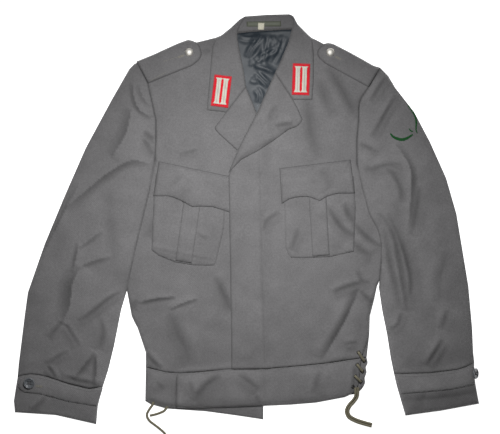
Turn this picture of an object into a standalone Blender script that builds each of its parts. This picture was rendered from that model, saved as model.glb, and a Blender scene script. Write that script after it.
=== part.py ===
"""Waist-length wool uniform jacket, laid on its back on a table, front side up.

Every cloth piece is cut to its own outline and laid on the pieces beneath it, in the order
in which a person would lay them. X runs to the wearer's left, Y to the collar, Z up from the
table. Tables are in millimetres, and the solids are made in metres.
"""

import math

import bmesh
import bpy
import numpy as np
from mathutils import Matrix, Vector

MM = 0.001
GAP = 0.3  # between neighbours at a seam, and between two layers
TURN_STEP = math.radians(13)  # most that a curved outline turns at one point

# The drape lattice: heights are held at its corners and run straight between them, so that
# two layers bend along the same lines and never cross.
PITCH = 27.5
COLUMNS = 32
ROWS = 28
FINE = 12  # samples across one cell, used to see which pieces lie on each other
LEFT = -COLUMNS * PITCH / 2
LOW = -ROWS * PITCH / 2

# Wall thicknesses
BODY_WALL = 2.8  # wool twill with its lining
SLEEVE_WALL = 2.4
COLLAR_WALL = 2.2
FACING_WALL = 2.0
POCKET_WALL = 1.8
BAND_WALL = 2.4
LINING_WALL = 1.0
RIBBON_WALL = 1.0
EPAULETTE_WALL = 2.6
PATCH_WALL = 1.4
BRAID_WALL = 1.2

# Shoulder pads make the wall thicker there: (x, y) of each pad's crown
PAD_CROWNS = ((-160.0, 282.0), (202.0, 272.0))
PAD_RISE = 9.0
PAD_REACH = 64.0

# Buttons, eyelets and laces
SHOULDER_BUTTON = {"diameter": 15.6, "height": 5.5, "rim": 1.4, "foot": 0.8}
DOME_STEPS = 5
CUFF_BUTTON = {
    "diameter": 20.5, "height": 3.6, "dish": 1.4, "rim": 2.2, "slope": 1.0, "edge": 0.9, "foot": 1.2,
    "hole": 2.2, "hole_circle": 5.0,
}
CUFF_BUTTON_RIGHT = (-401.5, -303.0)
CUFF_BUTTON_LEFT = (421.7, -285.0, 9.3)
CUFF_BUTTON_TILT = 60.0
EYELET = {"outer": 7.6, "inner": 3.8, "height": 1.0, "slope": 0.5}
LACE_DIAMETER = 3.8
LACE_BOW = 1.2  # how far a crossing lace rises between its two eyelets
ROUND_STEPS = 12  # places looked at round a small footprint

PATCH_SIZE = (32.0, 58.0)
BAR_SIZE = (8.0, 48.0)
BAR_FLARE = 2.1  # how far a bar's ends stand out on each side
BAR_NECK = 4.0  # length of each flared end
BAR_SPACING = 12.5

# Outlines of the wearer's right side, which lies at -X. Each run is one seam or edge, and
# neighbours share a run.
RIGHT = {
    "shoulder": ((-56, 336), (-72, 332), (-92, 327), (-108, 329), (-127, 323), (-145, 315), (-173, 302), (-202, 290)),
    "armhole": ((-202, 290), (-182, 252), (-175, 221), (-167, 184), (-167, 147), (-169, 110)),
    "underarm": ((-169, 110), (-179, 73), (-201, 43), (-238, 32)),
    "side": ((-238, 32), (-230, -48), (-221, -131), (-212, -179), (-201, -201), (-186, -246), (-186, -273)),
    "waist": ((-186, -273), (-150, -282), (-125, -284), (-90, -282), (-28, -277), (31, -276)),
    "front_edge": ((31, -276), (31, 147)),
    "roll": ((31, 147), (19, 196), (-1, 245), (-5, 274), (-14, 305), (-30, 322), (-56, 336)),
    "sleeve_inner": (
        (-169, 110), (-178, 54), (-190, 4), (-203, -49), (-221, -131), (-232, -168), (-245, -234), (-256, -279),
        (-266, -310),
    ),
    "sleeve_outer": (
        (-423, -292), (-421, -268), (-410, -179), (-404, -135), (-373, -46), (-336, 43), (-297, 132), (-249, 221),
        (-217, 277), (-202, 290),
    ),
    "cuff_seam": ((-266, -310), (-291, -313), (-329, -304), (-368, -291), (-400, -286), (-423, -292)),
    "cuff_outer": ((-423, -292), (-427, -316), (-430, -336), (-428, -357)),
    "cuff_bottom": ((-428, -357), (-353, -362), (-278, -379)),
    "cuff_inner": ((-278, -379), (-275, -345), (-266, -310)),
    "strap": (
        ((-266, -313), (-291, -316), (-329, -307), (-368, -294), (-400, -289), (-418, -294)),
        ((-418, -294), (-422, -304), (-419, -315), (-410, -320)),
        ((-410, -320), (-382, -323), (-329, -337), (-276, -346)),
        ((-276, -346), (-266, -313)),
    ),
    "lapel": (
        ((31, 147), (19, 196), (-1, 245)),
        ((-1, 245), (-37, 198), (-58, 171)),
        ((-58, 171), (-57, 165), (-51, 158)),
        ((-51, 158), (-18, 128), (29, 88)),
        ((29, 88), (31, 147)),
    ),
    "leaf": (
        ((-4, 371), (-12, 358), (-16, 347), (-17, 333), (-13, 313), (-5, 274), (-1, 245)),
        ((-1, 245), (-37, 198)),
        ((-37, 198), (-73, 202)),
        ((-73, 202), (-68, 258), (-65, 296), (-63, 319), (-56, 336)),
        ((-56, 336), (-49, 338), (-29, 354), (-13, 369), (-4, 371)),
    ),
    "pocket": (
        ((-167, 84), (-171, 40), (-175, -56)),
        ((-175, -56), (-163, -66), (-131, -79), (-101, -84), (-67, -85)),
        ((-67, -85), (-56, -78), (-42, -16), (-37, 70)),
        ((-37, 70), (-167, 84)),
    ),
    "pleat": (
        ((-112, 60), (-131, -76)),
        ((-131, -76), (-101, -81)),
        ((-101, -81), (-81, 55)),
        ((-81, 55), (-112, 60)),
    ),
    "flap": (
        ((-162, 107), (-172, 43)),
        ((-172, 43), (-145, 43), (-124, 36), (-100, 23)),
        ((-100, 23), (-85, 24), (-62, 23), (-27, 12)),
        ((-27, 12), (-25, 78)),
        ((-25, 78), (-162, 107)),
    ),
    "epaulette": (
        ((-203, 292), (-181, 251)),
        ((-181, 251), (-102, 283)),
        ((-102, 283), (-88, 294), (-83, 308), (-91, 326), (-108, 332)),
        ((-108, 332), (-127, 325), (-145, 317), (-173, 304), (-203, 292)),
    ),
    "patch": {"centre": (-46.5, 236.5), "turn": -7.0},
    "shoulder_button": (-106, 308),
}

# The wearer's left side, at +X. Its front lies over the right one.
LEFT_SIDE = {
    "shoulder": ((121, 335), (128, 332), (143, 324), (169, 318), (190, 307), (210, 296), (230, 285), (247, 280)),
    "armhole": ((247, 280), (225, 244), (212, 225), (207, 205), (207, 182), (204, 148), (204, 102)),
    "underarm": ((204, 102), (213, 74), (231, 43), (262, 26)),
    "side": (
        (262, 26), (252, -48), (248, -90), (246, -112), (241, -124), (236.5, -146), (228, -179), (227, -212),
        (218, -242), (212, -257),
    ),
    "waist": ((212, -257), (199, -258), (146, -266), (96, -271), (37, -276), (-28, -277)),
    "front_edge": ((-28, -277), (-28, -223), (-31, -57), (-33, 80)),
    "roll": ((-33, 80), (-17, 127), (19, 196), (44, 251), (60, 285), (78, 328), (97, 339), (121, 335)),
    "sleeve_inner": (
        (204, 102), (213, 58), (226, 10), (242, -19), (248, -49), (248, -84), (245, -127), (251, -168), (260, -212),
        (267, -257), (273, -286),
    ),
    "sleeve_outer": (
        (421, -264), (419, -246), (417, -201), (410, -123), (399, -57), (388, 10), (369, 76), (339, 143), (310, 198),
        (275, 243), (262, 265), (247, 280),
    ),
    "cuff_seam": ((273, -286), (340, -284), (389, -278), (414, -270), (421, -264)),
    "cuff_outer": ((421, -264), (421, -285), (423, -303), (426, -320), (430, -341)),
    "cuff_bottom": ((430, -341), (360, -354), (294, -363)),
    "cuff_inner": ((294, -363), (278, -308), (273, -286)),
    "strap": (
        ((275, -289), (340, -287), (389, -281), (418, -271)),
        ((418, -271), (421, -273), (422.2, -285), (421.5, -299), (420, -306)),
        ((420, -306), (375, -315), (286, -323)),
        ((286, -323), (275, -289)),
    ),
    "lapel": (
        ((-33, 86), (-17, 127), (19, 196), (44, 251), (53, 271)),
        ((53, 271), (86, 221), (95, 204), (103, 185)),
        ((103, 185), (100, 178), (92, 171), (78, 166)),
        ((78, 166), (48, 144), (22, 127), (-10, 110), (-33, 86)),
    ),
    "leaf": (
        ((86, 373), (86, 361), (83, 347), (78, 328), (60, 285), (53, 271)),
        ((53, 271), (86, 221)),
        ((86, 221), (121, 221)),
        ((121, 221), (124, 258), (124, 304), (121, 335)),
        ((121, 335), (115, 340), (95, 360), (86, 373)),
    ),
    "pocket": (
        ((198, 80), (201, 20), (198, -59)),
        ((198, -59), (153, -69), (101, -71), (82, -70)),
        ((82, -70), (72, -50), (70, 20), (66, 70)),
        ((66, 70), (198, 80)),
    ),
    "pleat": (
        ((114, 58), (122, -68)),
        ((122, -68), (153, -66)),
        ((153, -66), (146, 60)),
        ((146, 60), (114, 58)),
    ),
    "flap": (
        ((61, 94), (65, 29)),
        ((65, 29), (80, 38), (104, 42), (120, 40), (135, 34)),
        ((135, 34), (148, 42), (171, 48), (200, 48)),
        ((200, 48), (192, 110)),
        ((192, 110), (61, 94)),
    ),
    "epaulette": (
        ((245, 278), (225, 244)),
        ((225, 244), (146, 287)),
        ((146, 287), (134, 298), (131, 310), (140, 322), (151, 326), (161, 324)),
        ((161, 324), (190, 309), (210, 298), (245, 278)),
    ),
    "patch": {"centre": (100.7, 258.3), "turn": -2.0},
    "shoulder_button": (155, 308),
}

# Pieces that cross the centre
BACK_NECK = (
    (121, 335), (103, 346), (93, 350), (84, 352), (43, 350), (15, 348), (-16, 345), (-33, 346), (-56, 336),
)
BACK_WAIST = ((-186, -273), (-125, -284), (-28, -277), (96, -271), (222, -256))
BACK_SIDE_LEFT = (
    (222, -256), (227, -212), (228, -179), (236.5, -146), (241, -124), (246, -112), (248, -90), (252, -48), (262, 26),
)
FALL = (
    ((-56, 336), (-49, 338), (-29, 354), (-13, 369), (-3, 375)),
    ((-3, 375), (38, 378), (79, 379)),
    ((79, 379), (87, 375), (95, 360), (115, 340), (121, 335)),
    ((121, 335), (84, 326), (32, 322), (-20, 326), (-56, 336)),
)
STAND = (
    ((-3, 374), (38, 377), (79, 378)),
    ((79, 378), (89, 367), (100, 352), (103, 347)),
    ((103, 347), (93, 351), (84, 353), (43, 351), (15, 349), (-16, 346), (-33, 347)),
    ((-33, 347), (-20, 360), (-3, 374)),
)
LINING = (
    ((-30, 342), (-16, 343.5), (15, 346.5), (43, 348.5), (84, 350.5), (93, 348.5), (98, 342)),
    ((98, 342), (84, 300), (66, 255), (40, 190), (24, 158)),
    ((24, 158), (10, 190), (-12, 240), (-24, 290), (-30, 342)),
)
HANGER_LOOP = {"centre": (32, 361), "size": (63, 9), "turn": 0.6}
SIZE_LABEL = {"centre": (27, 356.7), "size": (11, 12), "turn": -3.0}
BACK_BAND = (
    BACK_WAIST,
    ((222, -256), (224, -265), (220.5, -274), (222, -283), (218.5, -293), (219, -303), (213, -314), (204, -323)),
    ((204, -323), (129, -331), (34, -338), (-75, -346), (-150, -341), (-180, -330)),
    ((-180, -330), (-186, -273)),
)
UNDER_BAND = (
    RIGHT["waist"],
    ((31, -276), (31, -370)),
    ((31, -370), (-23, -362), (-75, -355), (-148, -350), (-177, -342), (-187, -336)),
    ((-187, -336), (-186, -273)),
)
UPPER_BAND = (
    LEFT_SIDE["waist"],
    ((-28, -277), (-89, -283), (-125, -287)),
    ((-125, -287), (-129, -291), (-130, -343), (-125, -349)),
    ((-125, -349), (34, -345), (80, -343), (129, -339), (182, -329), (202, -317)),
    ((202, -317), (207, -303), (212, -257)),
)

# The largest folds: each lifts its pieces along one line, and falls away to both sides
FOLD_COLUMNS = ("piece", "x1", "y1", "x2", "y2", "width", "height")
FOLDS = (
    ("top_sleeve_right", -214, 117, -332, 23, 22, 2.4),
    ("top_sleeve_right", -212, 198, -241, 123, 20, 2.0),
    ("top_sleeve_right", -300, -85, -345, -170, 25, 3.0),
    ("top_sleeve_right", -234, -133, -314, -192, 22, 3.0),
    ("top_sleeve_right", -282, -246, -317, -290, 20, 2.4),
    ("top_sleeve_left", 259, 262, 230, 223, 18, 2.0),
    ("top_sleeve_left", 272, 140, 304, 4, 22, 3.0),
    ("top_sleeve_left", 265, 4, 289, -114, 20, 3.0),
    ("top_sleeve_left", 315, -11, 300, -129, 22, 2.4),
    ("top_sleeve_left", 367, -223, 334, -268, 20, 2.2),
    ("front_right", -99, -146, -195, -158, 22, 2.4),
    ("front_right", -128, 118, -93, 130, 20, 1.4),
    ("front_right", -130, -190, -115, -262, 24, 1.6),
    ("front_left", 212, -133, 140, -255, 24, 3.2),
    ("front_left", 165, -16, 213, -55, 20, 1.6),
    ("front_left", 133, 287, 206, 191, 26, 1.8),
    ("front_left", 30, -20, 62, 5, 20, 1.4),
    ("waistband_left", -55, -299, -85, -330, 20, 1.6),
    ("waistband_left", 18, -320, 30, -342, 18, 1.6),
    ("waistband_left", 101, -288, 108, -334, 20, 1.6),
)
LOFT = {"front_right": 1.0, "front_left": 1.0, "top_sleeve_right": 1.2, "top_sleeve_left": 1.2}
MOST_LIFT = 3.4
HEM_ROLL = 1.8  # the turned hem holds the right band off the back, and the lace comes out under it
EDGE_FADE = 34.0  # a lift dies away this far from the piece's outline

# Side lacing at the left hip: eyelets along the front's edge and along the back's edge
FRONT_EYELETS = ((207, -246), (205, -269), (201, -290), (196, -309))
BACK_EYELETS = ((217.5, -262), (214.5, -281), (211, -300))

# Free ends of the laces, seen from above: the left pair by its middle line
LACE_PAIR = 4.8
TABLE_CLEARANCE = 0.1
LEFT_TAILS = (
    (203.5, -311), (204, -320), (203, -328), (198, -336), (190, -345), (186, -355), (190, -365), (202, -372),
    (217, -377), (232, -381),
)
RIGHT_TAILS = (
    (
        (-171, -338), (-175, -345), (-180, -352), (-184, -360), (-183, -367), (-178, -374), (-170, -380), (-161, -387),
        (-152, -395), (-145, -405), (-140, -418),
    ),
    ((-146, -346), (-152, -354), (-160, -358), (-169, -361), (-178.5, -363)),
)

MATERIALS = {
    "wool_twill": ((0.20, 0.19, 0.19), 0.9, 0.0),
    "lining_satin": ((0.045, 0.06, 0.075), 0.5, 0.0),
    "patch_felt": ((0.74, 0.02, 0.03), 0.9, 0.0),
    "patch_braid": ((0.66, 0.64, 0.55), 0.7, 0.0),
    "button_silver": ((0.62, 0.61, 0.58), 0.35, 1.0),
    "button_dark": ((0.03, 0.035, 0.04), 0.3, 0.0),
    "eyelet_metal": ((0.10, 0.10, 0.11), 0.4, 1.0),
    "lace_cord": ((0.26, 0.24, 0.16), 0.85, 0.0),
    "ribbon": ((0.22, 0.23, 0.16), 0.6, 0.0),
    "label_cloth": ((0.80, 0.78, 0.66), 0.8, 0.0),
}

samples = (np.arange(COLUMNS * FINE) + 0.5) * PITCH / FINE + LEFT
sample_rows = (np.arange(ROWS * FINE) + 0.5) * PITCH / FINE + LOW
SAMPLE_X, SAMPLE_Y = np.meshgrid(samples, sample_rows, indexing="ij")
CORNER_X, CORNER_Y = np.meshgrid(
    np.arange(COLUMNS + 1) * PITCH + LEFT, np.arange(ROWS + 1) * PITCH + LOW, indexing="ij"
)
step_x, step_y = np.meshgrid(np.arange(FINE), np.arange(FINE), indexing="ij")
NEAR_HALF = (step_x + step_y + 1 <= FINE)[None, :, None, :]
FAR_HALF = (step_x + step_y + 1 >= FINE)[None, :, None, :]

laid = {}  # for each laid piece: the samples that it covers, and the heights of its top


def new_material(name):
    """A plain surface with the piece's colour, roughness and metallic value."""
    colour, roughness, metallic = MATERIALS[name]
    material = bpy.data.materials.new(name)
    material.use_nodes = True
    shader = material.node_tree.nodes["Principled BSDF"]
    shader.inputs["Base Color"].default_value = (*colour, 1.0)
    shader.inputs["Roughness"].default_value = roughness
    shader.inputs["Metallic"].default_value = metallic
    material.diffuse_color = (*colour, 1.0)
    return material


def add_object(name, data, material, collection="jacket"):
    """An object with its own copy of a material, in the named collection."""
    obj = bpy.data.objects.new(name, data)
    own = materials[material].copy()
    own.name = name
    data.materials.append(own)
    bpy.data.collections[collection].objects.link(obj)
    return obj


def edges_needed(before, start, end, after):
    """How many straight edges follow one stretch of an outline closely."""
    chord = end - start
    turn = (end - before).angle(chord) + chord.angle(after - start)
    return max(1, math.ceil(turn / TURN_STEP))


def soft_curve(points, step=None):
    """Points along one soft curve through the given ones, leaving out the last.

    A lace is divided by length, with a step; an outline is divided where it turns.
    """
    if len(points) == 2:
        return [Vector(points[0])]
    path = [Vector(point) for point in points]
    path = [2 * path[0] - path[1], *path, 2 * path[-1] - path[-2]]
    found = []
    for before, start, end, after in zip(path, path[1:], path[2:], path[3:]):
        if step:
            count = max(1, round((end - start).length / step))
        else:
            count = edges_needed(before, start, end, after)
        for k in range(count):
            t = k / count
            bend = (2 * before - 5 * start + 4 * end - after) * t * t
            swing = (3 * start - before - 3 * end + after) * t**3
            found.append(0.5 * (2 * start + (end - before) * t + bend + swing))
    return found


def joined(runs):
    """One closed outline from runs that follow each other, counterclockwise."""
    points = [point for run in runs for point in soft_curve(run)]
    area = sum(a.x * b.y - b.x * a.y for a, b in zip(points, points[1:] + points[:1]))
    return points if area > 0 else points[::-1]


def inset(points, distance):
    """The outline moved inwards."""
    moved = []
    for before, here, after in zip(points[-1:] + points[:-1], points, points[1:] + points[:1]):
        arriving = (here - before).normalized()
        leaving = (after - here).normalized()
        across = Vector((-arriving.y - leaving.y, arriving.x + leaving.x)).normalized()
        share = max(0.35, across.dot(Vector((-arriving.y, arriving.x))))
        moved.append(here + across * distance / share)
    return moved


def turned_rectangle(centre, size, turn):
    """The four straight edges of a rectangle, as runs."""
    turning = Matrix.Rotation(math.radians(turn), 2)
    corners = [(-0.5, -0.5), (0.5, -0.5), (0.5, 0.5), (-0.5, 0.5)]
    placed = [Vector(centre) + turning @ Vector((x * size[0], y * size[1])) for x, y in corners]
    return list(zip(placed, placed[1:] + placed[:1]))


def covered(points):
    """Which samples lie inside the outline."""
    inside = np.zeros(SAMPLE_X.shape, bool)
    for a, b in zip(points, points[1:] + points[:1]):
        if a.y == b.y:
            continue
        crossing = (a.y > SAMPLE_Y) != (b.y > SAMPLE_Y)
        at = a.x + (SAMPLE_Y - a.y) * (b.x - a.x) / (b.y - a.y)
        inside ^= crossing & (SAMPLE_X < at)
    return inside


def grown(mask, steps=2):
    """The samples, and those next to them."""
    for _ in range(steps):
        wider = mask.copy()
        wider[1:, :] |= mask[:-1, :]
        wider[:-1, :] |= mask[1:, :]
        wider[:, 1:] |= mask[:, :-1]
        wider[:, :-1] |= mask[:, 1:]
        mask = wider
    return mask


def corners_under(mask):
    """The lattice corners of every half cell that holds a sample of the mask."""
    cells = mask.reshape(COLUMNS, FINE, ROWS, FINE)
    near = (cells & NEAR_HALF).any(axis=(1, 3))
    far = (cells & FAR_HALF).any(axis=(1, 3))
    touched = np.zeros(CORNER_X.shape, bool)
    touched[:-1, :-1] |= near
    touched[1:, 1:] |= far
    touched[1:, :-1] |= near | far
    touched[:-1, 1:] |= near | far
    return touched


def distance_to_line(x1, y1, x2, y2):
    """How far each lattice corner is from a straight line with two ends."""
    run_x, run_y = x2 - x1, y2 - y1
    along = ((CORNER_X - x1) * run_x + (CORNER_Y - y1) * run_y) / (run_x**2 + run_y**2)
    along = np.clip(along, 0, 1)
    return np.hypot(CORNER_X - x1 - along * run_x, CORNER_Y - y1 - along * run_y)


def lift_of(name, points, mask):
    """How far the piece stands off what it lies on, at each lattice corner."""
    lift = np.full(CORNER_X.shape, LOFT.get(name, 0.0))
    for row in FOLDS:
        fold = dict(zip(FOLD_COLUMNS, row))
        if fold["piece"] == name:
            away = distance_to_line(fold["x1"], fold["y1"], fold["x2"], fold["y2"])
            lift += fold["height"] * np.exp(-((away / fold["width"]) ** 2))
    if not lift.any():
        return lift
    to_edge = np.full(CORNER_X.shape, np.inf)
    for a, b in zip(points, points[1:] + points[:1]):
        to_edge = np.minimum(to_edge, distance_to_line(a.x, a.y, b.x, b.y))
    last = FINE - 1
    inside = np.zeros(CORNER_X.shape, bool)
    inside[1:, 1:] |= mask[last::FINE, last::FINE]
    return np.minimum(lift, MOST_LIFT) * np.clip(to_edge / EDGE_FADE, 0, 1) * inside


def pad_rise():
    """The extra wall of the shoulder pads, at each lattice corner."""
    rise = np.zeros(CORNER_X.shape)
    for x, y in PAD_CROWNS:
        rise += PAD_RISE * np.exp(-((CORNER_X - x) ** 2 + (CORNER_Y - y) ** 2) / PAD_REACH**2)
    return rise


def level_at(levels, x, y):
    """The height of a lattice surface at one place."""
    u = (x - LEFT) / PITCH
    v = (y - LOW) / PITCH
    i, j = int(u), int(v)
    u, v = u - i, v - j
    if u + v <= 1:
        return levels[i, j] + u * (levels[i + 1, j] - levels[i, j]) + v * (levels[i, j + 1] - levels[i, j])
    far = levels[i + 1, j + 1]
    return far + (1 - u) * (levels[i, j + 1] - far) + (1 - v) * (levels[i + 1, j] - far)


def cut_by_lattice(bm, points):
    """Cuts a flat face along the lattice lines that cross it."""
    families = ((Vector((1, 0, 0)), 1), (Vector((0, 1, 0)), 1), (Vector((1, 1, 0)), 2))
    for normal, share in families:
        reach = [point.to_3d().dot(normal) for point in points]
        for k in range(math.ceil(min(reach) / PITCH), math.floor(max(reach) / PITCH) + 1):
            bmesh.ops.bisect_plane(
                bm,
                geom=bm.verts[:] + bm.edges[:] + bm.faces[:],
                dist=0.05,
                plane_co=normal * (k * PITCH / share),
                plane_no=normal,
            )


def lay(name, runs, wall, material, padded=False, rise=0.0):
    """Cuts one piece of cloth and lays it on all the pieces that it covers."""
    points = inset(joined(runs), GAP / 2)
    mask = covered(points)
    bottom = np.zeros(CORNER_X.shape)
    for under in laid.values():
        shared = mask & under["mask"]
        if shared.any():
            touched = corners_under(grown(shared))
            bottom[touched] = np.maximum(bottom[touched], under["top"][touched] + GAP)
    bottom = bottom + lift_of(name, points, mask) + rise
    top = bottom + wall + (pad_rise() if padded else 0.0)
    laid[name] = {"mask": mask, "top": top}
    bm = bmesh.new()
    bm.faces.new([bm.verts.new((point.x, point.y, 0)) for point in points])
    cut_by_lattice(bm, points)
    raised = bmesh.ops.extrude_face_region(bm, geom=bm.faces[:], use_keep_orig=True)["geom"]
    upper = {part for part in raised if isinstance(part, bmesh.types.BMVert)}
    for vert in bm.verts:
        vert.co.z = level_at(top if vert in upper else bottom, vert.co.x, vert.co.y)
    bmesh.ops.remove_doubles(bm, verts=bm.verts[:], dist=0.02)
    bmesh.ops.recalc_face_normals(bm, faces=bm.faces[:])
    bmesh.ops.scale(bm, vec=(MM, MM, MM), verts=bm.verts[:])
    mesh = bpy.data.meshes.new(name)
    bm.to_mesh(mesh)
    bm.free()
    return add_object(name, mesh, material)


def highest_under(x, y, radius):
    """The highest laid surface below a round footprint."""
    highest = 0.0
    around = [(0.0, 0.0)]
    for k in range(ROUND_STEPS):
        angle = 2 * math.pi * k / ROUND_STEPS
        around.append((radius * math.cos(angle), radius * math.sin(angle)))
    for dx, dy in around:
        i = int((x + dx - LEFT) * FINE / PITCH)
        j = int((y + dy - LOW) * FINE / PITCH)
        if i < 1 or j < 1:
            continue
        for piece in laid.values():
            if piece["mask"][max(i - 1, 0) : i + 2, max(j - 1, 0) : j + 2].any():
                highest = max(highest, level_at(piece["top"], x + dx, y + dy))
    return highest


def turned(name, profile, material, steps, closed):
    """A turned piece: a profile of (radius, height), from the top down its outer side."""
    bm = bmesh.new()
    verts = [bm.verts.new((radius * MM, 0, height * MM)) for radius, height in profile]
    for a, b in zip(verts, verts[1:] + (verts[:1] if closed else [])):
        bm.edges.new((a, b))
    mesh = bpy.data.meshes.new(name)
    bm.to_mesh(mesh)
    bm.free()
    obj = add_object(name, mesh, material)
    screw = obj.modifiers.new("turn", "SCREW")
    screw.steps = steps
    screw.render_steps = steps
    screw.use_merge_vertices = True
    screw.merge_threshold = 0.00001
    return obj


def lace(name, points):
    """A lace on a soft curve through the given points, each with its own height."""
    path = soft_curve(points, 2.2 * LACE_DIAMETER) + [Vector(points[-1])]
    curve = bpy.data.curves.new(name, "CURVE")
    curve.dimensions = "3D"
    spline = curve.splines.new("POLY")
    spline.points.add(len(path) - 1)
    for point, place in zip(spline.points, path):
        point.co = (*(place * MM), 1.0)
    curve.bevel_depth = LACE_DIAMETER / 2 * MM
    curve.bevel_resolution = 2
    curve.use_fill_caps = True
    return add_object(name, curve, "lace_cord")


def laid_lace(name, route):
    """A lace that comes down from the edge that it lies on to the table, along a plan route."""
    radius = LACE_DIAMETER / 2
    path = soft_curve(route, 4.0) + [Vector(route[-1])]
    floor = [highest_under(point.x, point.y, radius + 0.6) for point in path]
    reach = 2
    crest = [max(floor[max(k - reach, 0) : k + reach + 1]) for k in range(len(path))]
    eased = [float(np.mean(crest[max(k - reach, 0) : k + reach + 1])) for k in range(len(path))]
    places = [(point.x, point.y, height + GAP + radius) for point, height in zip(path, eased)]
    return lace(name, places[::2] + ([] if len(places) % 2 else places[-1:]))


def build_collar_back():
    lay("collar_fall_back", FALL, COLLAR_WALL, "wool_twill")


def build_back():
    runs = (
        BACK_NECK, RIGHT["shoulder"], RIGHT["armhole"], RIGHT["underarm"], RIGHT["side"], BACK_WAIST, BACK_SIDE_LEFT,
        LEFT_SIDE["underarm"][::-1], LEFT_SIDE["armhole"][::-1], LEFT_SIDE["shoulder"][::-1],
    )
    lay("back", runs, BODY_WALL, "wool_twill")
    lay("back_waistband", BACK_BAND, BAND_WALL, "wool_twill")
    lay("collar_stand", STAND, COLLAR_WALL, "wool_twill")
    lay("hanger_loop", turned_rectangle(**HANGER_LOOP), RIBBON_WALL, "ribbon")
    lay("size_label", turned_rectangle(**SIZE_LABEL), RIBBON_WALL, "label_cloth")
    lay("back_lining", LINING, LINING_WALL, "lining_satin")


def build_front(side, cut):
    """One front with its lapel and its chest pocket."""
    runs = [cut[name] for name in ("shoulder", "armhole", "underarm", "side", "waist", "front_edge", "roll")]
    lay("front_" + side, runs, BODY_WALL, "wool_twill", padded=True)
    lay("pocket_" + side, cut["pocket"], POCKET_WALL, "wool_twill")
    lay("pocket_pleat_" + side, cut["pleat"], POCKET_WALL, "wool_twill")
    lay("pocket_flap_" + side, cut["flap"], POCKET_WALL, "wool_twill")
    lay("lapel_" + side, cut["lapel"], FACING_WALL, "wool_twill")


def build_sleeve(side, cut):
    """The under and the top half of one sleeve, its cuff, and the cuff's strap."""
    runs = (cut["armhole"], cut["sleeve_inner"], cut["cuff_seam"], cut["sleeve_outer"])
    cuff = (cut["cuff_seam"], cut["cuff_outer"], cut["cuff_bottom"], cut["cuff_inner"])
    lay("under_sleeve_" + side, runs, SLEEVE_WALL, "wool_twill")
    lay("top_sleeve_" + side, runs, SLEEVE_WALL, "wool_twill", padded=True)
    lay("cuff_under_" + side, cuff, SLEEVE_WALL, "wool_twill")
    lay("cuff_top_" + side, cuff, SLEEVE_WALL, "wool_twill")
    lay("cuff_strap_" + side, cut["strap"], FACING_WALL, "wool_twill")


def bar_outline(centre, turn, shift):
    """One upright bar of braid, with ends that stand out a little."""
    half_width, half_height = BAR_SIZE[0] / 2, BAR_SIZE[1] / 2
    neck = half_height - BAR_NECK
    flared = half_width + BAR_FLARE
    corners = [
        (-flared, -half_height), (flared, -half_height), (half_width, -neck), (half_width, neck),
        (flared, half_height), (-flared, half_height), (-half_width, neck), (-half_width, -neck),
    ]
    turning = Matrix.Rotation(math.radians(turn), 2)
    placed = [Vector(centre) + turning @ Vector((x + shift, y)) for x, y in corners]
    return list(zip(placed, placed[1:] + placed[:1]))


def build_collar_leaf(side, cut):
    """One front leaf of the collar, with its felt patch and two bars of braid."""
    lay("collar_leaf_" + side, cut["leaf"], COLLAR_WALL, "wool_twill")
    place = cut["patch"]
    lay("collar_patch_" + side, turned_rectangle(size=PATCH_SIZE, **place), PATCH_WALL, "patch_felt")
    for number, shift in enumerate((-BAR_SPACING / 2, BAR_SPACING / 2), 1):
        outline = bar_outline(place["centre"], place["turn"], shift)
        lay(f"patch_bar_{side}_{number}", outline, BRAID_WALL, "patch_braid")


def build_epaulette(side, cut):
    """The shoulder strap, and its domed button."""
    lay("epaulette_" + side, cut["epaulette"], EPAULETTE_WALL, "wool_twill")
    radius = SHOULDER_BUTTON["diameter"] / 2
    rim = SHOULDER_BUTTON["rim"]
    rise = SHOULDER_BUTTON["height"] - rim
    profile = []
    for k in range(DOME_STEPS + 1):
        angle = k * math.pi / 2 / DOME_STEPS
        profile.append((radius * math.sin(angle), rim + rise * math.cos(angle)))
    profile += [(radius - SHOULDER_BUTTON["foot"], 0), (0, 0)]
    button = turned("shoulder_button_" + side, profile, "button_silver", 18, False)
    x, y = cut["shoulder_button"]
    button.location = Vector((x, y, highest_under(x, y, radius) + GAP)) * MM


def add_cuff_button(side, place, tilt):
    """A four-hole button with a raised rim."""
    radius = CUFF_BUTTON["diameter"] / 2
    height = CUFF_BUTTON["height"]
    dish = height - CUFF_BUTTON["dish"]
    rim = radius - CUFF_BUTTON["rim"]
    edge = CUFF_BUTTON["edge"]
    profile = [
        (0, dish), (rim - CUFF_BUTTON["slope"], dish), (rim, height), (radius - edge, height),
        (radius, height - edge), (radius - CUFF_BUTTON["foot"], 0), (0, 0),
    ]
    button = turned("cuff_button_" + side, profile, "button_dark", 20, False)
    holes = bmesh.new()
    for k in range(4):
        angle = math.pi / 4 + k * math.pi / 2
        shift = CUFF_BUTTON["hole_circle"] / 2
        place_hole = Matrix.Translation(Vector((shift * math.cos(angle), shift * math.sin(angle), height / 2)) * MM)
        bmesh.ops.create_cone(
            holes, cap_ends=True, segments=8, radius1=CUFF_BUTTON["hole"] / 2 * MM,
            radius2=CUFF_BUTTON["hole"] / 2 * MM, depth=2 * height * MM, matrix=place_hole,
        )
    mesh = bpy.data.meshes.new("button_holes_" + side)
    holes.to_mesh(mesh)
    holes.free()
    cutter = add_object("button_holes_" + side, mesh, "button_dark", "cutters")
    cutter.hide_render = True
    cutter.display_type = "WIRE"
    cutter.parent = button
    drill = button.modifiers.new("holes", "BOOLEAN")
    drill.operation = "DIFFERENCE"
    drill.object = cutter
    button.location = Vector(place) * MM
    button.rotation_euler = (0, math.radians(tilt), 0)


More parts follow.
